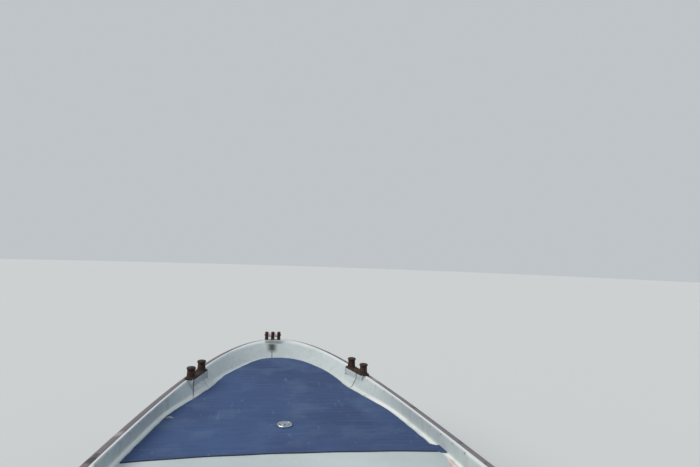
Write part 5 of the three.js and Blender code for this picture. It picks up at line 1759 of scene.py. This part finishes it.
def clamp_bracket():
    """Two cast clamp plates over the transom, joined by the tilt tube and a tie, with their screws."""
    inside = transom_x(NOTCH_Z) + TRANSOM_THICKNESS
    foot, saddle = 0.13, NOTCH_Z + 0.003
    outline = ((transom_x(foot) - 0.015, foot), (transom_x(NOTCH_Z) - 0.015, saddle),
               (inside + 0.003, saddle), (inside + 0.0192, 0.24), (inside + 0.034, 0.24),
               (inside + 0.034, NOTCH_Z + 0.038),
               (TILT.x + 0.032, NOTCH_Z + 0.044), (TILT.x + 0.022, TILT.z + 0.02), (TILT.x, TILT.z + 0.028),
               (TILT.x - 0.024, TILT.z + 0.014), (TILT.x - 0.03, NOTCH_Z), (transom_x(foot) - 0.05, foot))
    plates = [Form().prism(outline, y, y + 0.02, 0.003, SIDEWAYS) for y in (-0.104, 0.084)]
    tie = Form().block((inside + 0.012, -0.09, NOTCH_Z + 0.006), (inside + 0.032, 0.09, NOTCH_Z + 0.034),
                       0.004)
    tube = Form().turning(((0.013, -0.118), (0.014, -0.116), (0.014, 0.116), (0.013, 0.118)), TILT, ACROSS)
    castings = carved(*plates, tie, tube, operation="UNION")
    castings.piece("clamp_castings", casting_paint(), nodes=["clamp_bracket"])
    thread = [(0.0088 if i % 2 else 0.0078, 0.014 + 0.0016 * i) for i in range(36)]
    bolt = ((0.009, 0), (0.009, 0.005), (0.006, 0.007), (0.0, 0.0075))
    screws = Form()
    for y in (-0.094, 0.094):
        screws.turning(thread, (inside, y, CLAMP_SCREW_Z), AHEAD, 16)
        screws.turning(((0.012, 0.066), (0.012, 0.081), (0.0, 0.083)), (inside, y, CLAMP_SCREW_Z), AHEAD, 16)
        handle = inside + 0.074
        screws.bar([(handle, y, CLAMP_SCREW_Z - 0.022), (handle, y, CLAMP_SCREW_Z + 0.022)], 0.0035, 10)
        for end in (-0.023, 0.023):
            screws.turning(((0.0052, -0.0045), (0.0052, 0.0045)), (handle, y, CLAMP_SCREW_Z + end), sides=10)
        for z, out in ((0.17, 0.0305), (0.3, 0.0255)):
            screws.turning(bolt, (transom_x(z) - out - 0.012, y, z), AFT, 6)
    screws.piece("clamp_screws", steel())


def swivel_bracket():
    """Casting that tilts on the clamp's tube and carries the upright steering column."""
    outline = ((TILT.x + 0.02, TILT.z - 0.014), (TILT.x + 0.02, TILT.z + 0.008), (STEER_X, TILT.z + 0.006),
               (STEER_X, 0.07), (STEER_X + 0.034, 0.07), (TILT.x - 0.044, 0.3),
               (TILT.x - 0.018, TILT.z - 0.026))
    arms = Form().prism(outline, -0.046, 0.046, 0.006, SIDEWAYS, 3)
    barrel = ((0.025, -0.075), (0.027, -0.073), (0.027, -0.052), (0.0255, -0.046), (0.0255, 0.046),
              (0.027, 0.052), (0.027, 0.073), (0.025, 0.075))
    hub = Form().turning(barrel, TILT, ACROSS, 28)
    upright = ((0.036, 0.066), (0.038, 0.068), (0.038, 0.1), (0.0345, 0.108), (0.0345, 0.37),
               (0.038, 0.378), (0.038, 0.424), (0.036, 0.426))
    column = Form().turning(upright, (STEER_X, 0, 0), sides=28)
    recess = ((STEER_X + 0.045, 0.36), (STEER_X + 0.045, 0.2), (TILT.x - 0.055, 0.335),
              (TILT.x - 0.04, 0.375))
    recesses = [Form().prism(recess, y, y + 0.02, 0, SIDEWAYS) for y in (-0.058, 0.038)]
    bore = Form().turning(((0.0155, -0.12), (0.0155, 0.12)), TILT, ACROSS)
    casting = carved(carved(arms, hub, column, operation="UNION"), bore, *recesses)
    casting.piece("swivel_casting", casting_paint(), body="swivel", nodes=["swivel_bracket"])


def plan(front, back, half, corner, z):
    """Rounded outline of a motor piece seen from above, its places measured from the steering axis."""
    low, high = STEER_X + back, STEER_X + front
    outline = ((low, 0), (low, -half), (high, -half), (high, half), (low, half), (low, 0))
    corners = [Vector((x, y, z)) for x, y in outline]
    return rounded(corners, (corner, corner * 1.2, corner * 1.2, corner), 7)[:-1]


def shape_at(shape, t):
    """Values of a table's rows at t, where t counts its rows."""
    return [smooth_run(column, t) for column in zip(*shape)]


# Leg sections from its foot up: height, front, back, half breadth
LEG_SHAPE = ((-0.167, -0.056, -0.205, 0.05), (-0.15, -0.055, -0.205, 0.049), (-0.1, -0.056, -0.198, 0.04),
             (0.0, -0.054, -0.195, 0.038), (0.12, -0.053, -0.196, 0.039), (0.24, -0.052, -0.198, 0.042),
             (0.36, -0.052, -0.203, 0.049), (0.425, -0.052, -0.205, 0.052), (0.452, -0.052, -0.205, 0.052))


def motor_leg():
    """Leg casting, waisted between the pan and the plate, with its yokes and rubber mounts."""
    rows = []
    for t in steps(0, len(LEG_SHAPE) - 1, 40):
        z, front, back, half = shape_at(LEG_SHAPE, t)
        rows.append(plan(front, back, half, 0.03, z))
    spine = Form().between(rows)
    upper = ((0.042, 0.433), (0.044, 0.435), (0.044, 0.449), (0.042, 0.451))
    lower = ((0.042, 0.026), (0.044, 0.029), (0.044, 0.055), (0.042, 0.058))
    yokes = [Form().turning(profile, (STEER_X, 0, 0), sides=28) for profile in (upper, lower)]
    yokes.append(Form().block((STEER_X - 0.08, -0.04, 0.433), (STEER_X, 0.04, 0.451), 0.003))
    yokes.append(Form().block((STEER_X - 0.08, -0.036, 0.028), (STEER_X, 0.036, 0.056), 0.004))
    casting = carved(spine, *yokes, operation="UNION")
    casting.piece("leg_casting", casting_paint(), body="motor", nodes=["motor_leg"])
    cover = ((0.016, 0.0), (0.016, 0.004), (0.011, 0.006), (0.0, 0.0065))
    covers = Form()
    for side in (-1, 1):
        for z in (0.042, 0.1):
            covers.turning(cover, (STEER_X - 0.078, side * 0.0375, z), (0, side, 0), 18)
    covers.piece("leg_mount_covers", black_plastic(), body="motor")


def foil(chord, thickness, front, z, pieces=12):
    """Level section with a round nose and a thin tail, its nose at front."""
    port = []
    for t in steps(0, 1, pieces):
        t = t ** 1.6
        fullness = 1.48 * math.sqrt(t) - 0.63 * t - 1.76 * t ** 2 + 1.42 * t ** 3 - 0.51 * t ** 4
        port.append(Vector((front - chord * t, thickness * fullness + 0.0007, z)))
    return port + mirrored(port)[::-1]


def lower_unit():
    """Gearcase: the plate, the strut, the torpedo with its skeg, the water grilles and the trim tab."""
    # Each row: how far it is drawn in from the plate's edge, and its height
    rows = [plan(-0.02 - inset, -0.3 + inset, 0.092 - inset, 0.04 - inset * 2 / 3, CAVITATION_Z + lift)
            for inset, lift in ((0.003, 0), (0, 0.0025), (0, 0.0095), (0.003, 0.012))]
    plate = Form().between(rows)
    rows = [plan(-0.035, -0.235, half, 0.03, CAVITATION_Z - drop)
            for half, drop in ((0.05, 0), (0.05, 0.012), (0.034, 0.03))]
    splash_plate = Form().between(rows)
    rows = []
    strut_top, strut_foot = CAVITATION_Z + 0.003, SHAFT_Z + 0.018
    for t in steps(0, 1, 14):
        chord = 0.185 - 0.02 * math.sin(math.pi * t)
        thickness = 0.026 + 0.01 * (2 * t - 1) ** 2
        rows.append(foil(chord, thickness, STEER_X - 0.042, strut_top + (strut_foot - strut_top) * t))
    strut = Form().between(rows)
    profile = [(0.0, -0.152)]
    for along in steps(0.148, 0.02, 12):
        profile.append((0.044 * math.sqrt(max(0.0, 1 - ((along - 0.02) / 0.132) ** 2)) ** 0.85, -along))
    profile += [(0.044, 0.1), (0.0425, 0.135), (0.040, 0.149), (0.036, 0.1505)]
    torpedo = Form().turning(profile, (STEER_X - 0.12, 0, SHAFT_Z), AFT, 32)
    rows = []
    for t in steps(0, 1, 12):
        chord = 0.14 - 0.078 * t ** 1.4
        front = STEER_X - 0.05 - 0.12 * t ** 1.25
        rows.append(foil(chord, 0.011 - 0.004 * t, front, SHAFT_Z - 0.02 - 0.145 * t))
    skeg = Form().between(rows)
    rows = [foil(0.05, 0.006, STEER_X - 0.24, z) for z in (CAVITATION_Z + 0.002, CAVITATION_Z - 0.05)]
    tab = Form().between(rows)
    case = carved(plate, splash_plate, strut, torpedo, skeg, tab, operation="UNION")
    slots = [Form().block((STEER_X - 0.12, y, z), (STEER_X - 0.085, y + 0.03, z + 0.0045), 0)
             for y in (-0.048, 0.018) for z in steps(SHAFT_Z + 0.062, SHAFT_Z + 0.095, 4)]
    carved(case, *slots).piece("gearcase", casting_paint(), body="motor", nodes=["lower_unit"])
    bolt = ((0.007, 0), (0.007, 0.004), (0.0, 0.0045))
    bolts = Form()
    for y in (-0.07, 0.07):
        for x in (-0.09, -0.2):
            bolts.turning(bolt, (STEER_X + x, y, CAVITATION_Z + 0.0118), sides=6)
    bolts.piece("gearcase_bolts", steel(), body="motor")


PROPELLER_HUB_X = STEER_X - 0.312
PROPELLER_PITCH = 0.3
# A propeller blade: each radius with its half chord, from the root to the tip
BLADE_SHAPE = ((0.034, 0.03), (0.055, 0.05), (0.08, 0.062), (0.105, 0.064), (0.128, 0.052), (0.142, 0.032),
               (0.148, 0.01))
BLADE_ROOT = BLADE_SHAPE[0][0]
BLADE_LENGTH = BLADE_SHAPE[-1][0] - BLADE_ROOT


def blade(turn):
    """One twisted, cupped and raked blade, turned about the shaft."""
    faces = {1: [], -1: []}
    for t in steps(0, len(BLADE_SHAPE) - 1, 18):
        radius, half = shape_at(BLADE_SHAPE, t)
        out = (radius - BLADE_ROOT) / BLADE_LENGTH
        twist = math.atan(PROPELLER_PITCH / (2 * math.pi * radius))
        for face, rows in faces.items():
            row = []
            for share in steps(-1, 1, 14):
                along = half * share + 0.02 * out
                thick = (0.0042 - 0.0026 * out) * math.sqrt(1 - share ** 2) + 0.0005
                off = face * thick - 0.05 * along ** 2 / 0.064
                rake = 0.05 * (radius - BLADE_ROOT)
                axial = along * math.sin(twist) + off * math.cos(twist) - rake
                angle = (along * math.cos(twist) - off * math.sin(twist)) / radius + turn
                y, z = radius * math.cos(angle), radius * math.sin(angle)
                row.append(Vector((PROPELLER_HUB_X + axial, y, SHAFT_Z + z)))
            rows.append(row)
    return Form().slab(faces[1], faces[-1])


def propeller():
    """Three-bladed propeller on a flared hub, and its nut."""
    hub = ((0.0385, -0.039), (0.0405, -0.036), (0.0375, 0.0), (0.0385, 0.03), (0.0415, 0.039),
           (0.0385, 0.0392), (0.0355, 0.03), (0.016, 0.028), (0.0155, 0.03))
    at = (PROPELLER_HUB_X, 0, SHAFT_Z)
    body = Form().turning(hub, at, AFT, 36)
    casting = carved(body, *[blade(turn) for turn in around(3)], operation="UNION")
    casting.piece("propeller_blades", propeller_paint(), body="propeller", nodes=["propeller"])
    nut = ((0.0145, 0.028), (0.0145, 0.032), (0.0118, 0.0335), (0.0118, 0.05), (0.006, 0.052), (0.006, 0.062),
           (0.0, 0.063))
    Form().turning(nut, at, AFT, 6).piece("propeller_nut", steel(), body="propeller")


# Cowl sections from its foot up: height, front, back, half breadth
COWL_SHAPE = ((0.521, 0.096, -0.428, 0.178), (0.64, 0.1, -0.438, 0.184), (0.78, 0.088, -0.43, 0.176),
              (0.862, 0.05, -0.38, 0.15), (0.892, 0.0, -0.32, 0.11))


def cowl_row(t, inset=0.0, lift=0.0):
    """Level row of the cowl, where t counts its sections, drawn in and lifted a little."""
    z, front, back, half = shape_at(COWL_SHAPE, t)
    half -= inset
    return plan(front - inset, back + inset, half, half * 0.55, z + lift)


def motor_cowl():
    """Moulded cover with a seam, a pressed band, an air slot at its back and a rounded top."""
    seam = [cowl_row(t, inset) for t, inset in ((0, 0.005), (0.05, 0.005), (0.058, 0.0015), (0.075, 0))]
    low = [cowl_row(t) for t in steps(0.11, 1.2, 10)]
    band = [cowl_row(t, inset) for t, inset in ((1.23, 0), (1.245, 0.0035), (1.3, 0.0035), (1.315, 0))]
    high = [cowl_row(t) for t in steps(1.36, 4, 30)]
    top = [cowl_row(4, inset, lift)
           for inset, lift in ((0.02, 0.003), (0.045, 0.0055), (0.075, 0.007), (0.1, 0.0075))]
    cover = Form().between(seam + low + band + high + top)
    slots = [Form().block((STEER_X - 0.5, -0.085, z), (STEER_X - 0.408, 0.085, z + 0.009), 0.003)
             for z in steps(0.69, 0.754, 4)]
    hollow = Form().block((STEER_X - 0.5, -0.075, 0.548), (STEER_X - 0.418, 0.075, 0.592), 0.012, pieces=4)
    cover = carved(cover, hollow, *slots)
    cover.piece("cowl_cover", cover_plastic(), body="motor", nodes=["motor_cowl"])


def cowl_pan():
    """Tray under the cowl, with its front latch and the seal round its rim."""
    levels = ((0.03, 0.458), (0.012, 0.4605), (0.004, 0.468), (0, 0.48), (0, 0.515), (0.0015, 0.5185),
              (0.004, 0.52))
    rows = [plan(0.096 - inset, -0.42 + inset, 0.172 - inset, 0.082 - inset, z) for inset, z in levels]
    Form().between(rows).piece("cowl_tray", casting_paint(), body="motor", nodes=["cowl_pan"])
    latch = Form().block((STEER_X + 0.09, -0.02, 0.478), (STEER_X + 0.1005, 0.02, 0.512), 0.003, pieces=3)
    latch.block((STEER_X + 0.099, -0.014, 0.482), (STEER_X + 0.104, 0.014, 0.503), 0.002)
    latch.piece("cowl_latch", black_plastic(), body="motor")
    band = Form().hoop(plan(0.0935, -0.4175, 0.1695, 0.08, 0.5205), UP, 0.0022, 8)
    band.piece("cowl_seal", sealant(), body="motor")


# Stage
SENSOR_WIDTH = 36
# A camera looks down its own -Z; this turns it to look ahead with its top up
LOOK_AHEAD = Matrix(((0, 0, -1, 0), (-1, 0, 0, 0), (0, 1, 0, 0), (0, 0, 0, 1)))
# Each lamp: its direction, its spread, its strength and its colour
LAMPS = {
    "key_light": ((-0.25, 0.9, 0.85), 0.7, 2.2, "#FFF6EA"),
    "fill_light": ((0.35, -0.6, 1.0), 1.6, 0.32, "#EEF5FF"),
}
SKY_COLOUR = "#DDE3E8"
SKY_STRENGTH = 0.72


def floor_plate():
    """Plain pale floor at the waterline, open where the hull stands through it."""
    reach = bpy.context.scene.cargo_boat_stage.floor_margin
    port = [Vector((x, max(0.0, inner_half(x, 0.0, 0.0) - 0.012), 0)) for x in steps(3.25, -3.86, 70)]
    hole = port + [p for p in mirrored(port)[::-1] if p.y < -1e-4]
    rim = [Vector((p.x, p.y, 0)).normalized() * reach for p in hole]
    form = Form().skin([hole, rim], True)
    form.tidy()
    mesh = bpy.data.meshes.new("studio_floor")
    form.bm.to_mesh(mesh)
    form.bm.free()
    if mesh.polygons[0].normal.z < 0:
        mesh.flip_normals()
    made = bpy.data.objects.new("studio_floor", mesh)
    bpy.context.scene.collection.objects.link(made)
    return made


def stage():
    """Floor, soft light and the camera at the photograph's viewing angle."""
    scene = bpy.context.scene
    settings = scene.cargo_boat_stage
    floor = floor_plate()
    paper = Finish("studio_paper", "stage", Roughness=0.9)
    floor.data.materials.append(paper.finished(paper.worn("#C6C9CB", "#C4C8CA", 0.02, 0.3, 0.7)))
    for name, (at, spread, strength, colour) in LAMPS.items():
        lamp = bpy.data.lights.new(name, "SUN")
        lamp.angle, lamp.energy, lamp.color = spread, strength, linear(colour)[:3]
        made = bpy.data.objects.new(name, lamp)
        made.matrix_world = turned_to(at, Vector(at) * 10)
        scene.collection.objects.link(made)
    world = scene.world or bpy.data.worlds.new("studio")
    scene.world = world
    world.use_nodes = True
    sky = world.node_tree.nodes["Background"]
    sky.inputs["Color"].default_value = linear(SKY_COLOUR)
    sky.inputs["Strength"].default_value = SKY_STRENGTH
    lens = bpy.data.cameras.new("camera")
    lens.lens, lens.sensor_width, lens.clip_start = settings.lens, SENSOR_WIDTH, 0.05
    camera = bpy.data.objects.new("camera", lens)
    turn = Matrix.Rotation(-settings.yaw, 4, "Z") @ Matrix.Rotation(-settings.pitch, 4, "Y")
    look = turn @ LOOK_AHEAD @ Matrix.Rotation(settings.roll, 4, "Z")
    camera.matrix_world = Matrix.Translation(settings.camera_at) @ look
    scene.collection.objects.link(camera)
    scene.camera = camera
    scene.view_settings.view_transform = "Standard"


PORT_AND_STARBOARD = (("port", 1), ("starboard", -1))


class CARGO_OT_hull(Operator):
    """Builds the hull's plates, the stem band and the keel strip"""
    bl_idname = "cargo_boat.hull"
    bl_label = "Hull"

    def execute(self, context):
        hull_bottom()
        hull_side("port", False)
        hull_side("starboard", True)
        hull_bow()
        transom()
        stem_band()
        false_keel()
        return {"FINISHED"}


class CARGO_OT_decks(Operator):
    """Builds the foredeck, its grit paint with the lap, and the side decks"""
    bl_idname = "cargo_boat.decks"
    bl_label = "Decks"

    def execute(self, context):
        foredeck()
        nonskid_panel()
        paint_lap()
        side_deck("port", False)
        side_deck("starboard", True)
        return {"FINISHED"}


class CARGO_OT_edges(Operator):
    """Builds the rub rails and the screws along the lip"""
    bl_idname = "cargo_boat.edges"
    bl_label = "Rub Rails"

    def execute(self, context):
        for name, side in PORT_AND_STARBOARD:
            rub_rail(name, side < 0)
            lip_screws(name, side < 0)
        return {"FINISHED"}


class CARGO_OT_bollards(Operator):
    """Builds the double bollards at the bow and the stern"""
    bl_idname = "cargo_boat.bollards"
    bl_label = "Bollards"

    def execute(self, context):
        for name, side in PORT_AND_STARBOARD:
            double_bollard(f"bow_bollard_{name}", seat_matrix(BOLLARD_SEATS[name], 0.0005), 11 + side)
            stern = Matrix.Translation((STERN_BOLLARD_X, STERN_BOLLARD_Y * side, deck_z(0) + 0.0005))
            double_bollard(f"stern_bollard_{name}", stern, 17 + side)
        return {"FINISHED"}


class CARGO_OT_deck_fittings(Operator):
    """Builds the stem head, the cleats, the deck plate, the pad eye and the drains"""
    bl_idname = "cargo_boat.deck_fittings"
    bl_label = "Deck Fittings"

    def execute(self, context):
        stem_head()
        for name, side in PORT_AND_STARBOARD:
            horn_cleat(f"side_cleat_{name}", side)
        deck_plate()
        pad_eye()
        drains()
        return {"FINISHED"}


class CARGO_OT_hold(Operator):
    """Builds the bulkheads, the ribs, the boards and the thwart of the hold"""
    bl_idname = "cargo_boat.hold"
    bl_label = "Hold"

    def execute(self, context):
        fore_bulkhead()
        top = LIP_HEIGHT - FLANGE_DROP - 0.002
        panel = bulkhead(HOLD_BACK_X - BULKHEAD_THICKNESS, BULKHEAD_THICKNESS, top)
        panel.piece("mid_bulkhead_panel", inner_gelcoat(), nodes=["mid_bulkhead"])
        for name, side in PORT_AND_STARBOARD:
            side_frames(f"side_frames_{name}", side)
        floor_boards("hold", "hold_floor", HOLD_BACK_X + 0.002, HOLD_FRONT_X - 0.002)
        thwart()
        return {"FINISHED"}


class CARGO_OT_forepeak_door(Operator):
    """Builds the forepeak door and its hinge"""
    bl_idname = "cargo_boat.forepeak_door"
    bl_label = "Forepeak Door"

    def execute(self, context):
        forepeak_door()
        door_hinge_leaf()
        return {"FINISHED"}


class CARGO_OT_helm(Operator):
    """Builds the cockpit floor, the console, the screen and the dash"""
    bl_idname = "cargo_boat.helm"
    bl_label = "Helm Console"

    def execute(self, context):
        floor_boards("cockpit", "cockpit_floor", BENCH_BACK, HOLD_BACK_X - BULKHEAD_THICKNESS - 0.002)
        helm_console()
        dash_fittings()
        windscreen()
        return {"FINISHED"}


class CARGO_OT_controls(Operator):
    """Builds the steering wheel, its shaft and the throttle"""
    bl_idname = "cargo_boat.controls"
    bl_label = "Wheel and Throttle"

    def execute(self, context):
        steering_wheel()
        throttle()
        return {"FINISHED"}


class CARGO_OT_bench(Operator):
    """Builds the locker, its lid and the long hinge"""
    bl_idname = "cargo_boat.bench"
    bl_label = "Stern Bench"

    def execute(self, context):
        bench_locker()
        bench_lid()
        bench_hinge_leaf()
        return {"FINISHED"}


class CARGO_OT_stern(Operator):
    """Builds the aft bulkhead, the aft deck, the splash well and the transom pad"""
    bl_idname = "cargo_boat.stern"
    bl_label = "Stern"

    def execute(self, context):
        panel = bulkhead(BENCH_BACK - 0.03, 0.018, deck_z(0) - 0.1)
        panel.piece("aft_bulkhead_panel", inner_gelcoat(), nodes=["aft_bulkhead"])
        aft_deck()
        splash_well()
        transom_pad()
        return {"FINISHED"}


class CARGO_OT_motor_mount(Operator):
    """Builds the motor's clamp and its swivel bracket"""
    bl_idname = "cargo_boat.motor_mount"
    bl_label = "Motor Mount"

    def execute(self, context):
        clamp_bracket()
        swivel_bracket()
        return {"FINISHED"}


class CARGO_OT_motor(Operator):
    """Builds the leg, the gearcase, the propeller, the pan and the cowl"""
    bl_idname = "cargo_boat.motor"
    bl_label = "Motor"

    def execute(self, context):
        motor_leg()
        lower_unit()
        propeller()
        cowl_pan()
        motor_cowl()
        return {"FINISHED"}


class CARGO_OT_stage(Operator):
    """Builds the floor, the lights and the camera"""
    bl_idname = "cargo_boat.stage"
    bl_label = "Stage"

    def execute(self, context):
        stage()
        return {"FINISHED"}


OPERATORS = (CARGO_OT_hull, CARGO_OT_decks, CARGO_OT_edges, CARGO_OT_bollards, CARGO_OT_deck_fittings,
             CARGO_OT_hold, CARGO_OT_forepeak_door, CARGO_OT_helm, CARGO_OT_controls, CARGO_OT_bench,
             CARGO_OT_stern, CARGO_OT_motor_mount, CARGO_OT_motor, CARGO_OT_stage)
SETTINGS = (ColourSettings, FitOutSettings, StageSettings)
SETTING_NAMES = ("cargo_boat_colours", "cargo_boat_fit_out", "cargo_boat_stage")


class CARGO_PT_panel(Panel):
    """Settings and pieces of the cargo boat"""
    bl_idname = "CARGO_PT_panel"
    bl_label = "Cargo Boat"
    bl_space_type = "VIEW_3D"
    bl_region_type = "UI"
    bl_category = "Cargo Boat"

    def draw(self, context):
        for name in SETTING_NAMES:
            box = self.layout.box()
            group = getattr(context.scene, name)
            for setting in group.__annotations__:
                box.prop(group, setting)
        column = self.layout.column(align=True)
        for operator in OPERATORS:
            column.operator(operator.bl_idname)


def register():
    for item in (*SETTINGS, *OPERATORS, CARGO_PT_panel):
        bpy.utils.register_class(item)
    for name, group in zip(SETTING_NAMES, SETTINGS):
        setattr(bpy.types.Scene, name, PointerProperty(type=group))


def unregister():
    for name in SETTING_NAMES:
        delattr(bpy.types.Scene, name)
    for item in reversed((*SETTINGS, *OPERATORS, CARGO_PT_panel)):
        bpy.utils.unregister_class(item)


def main():
    """Registers the add-on and builds the boat in order."""
    register()
    for operator in OPERATORS:
        getattr(bpy.ops.cargo_boat, operator.bl_idname.split(".")[1])()


if __name__ == "__main__":
    main()
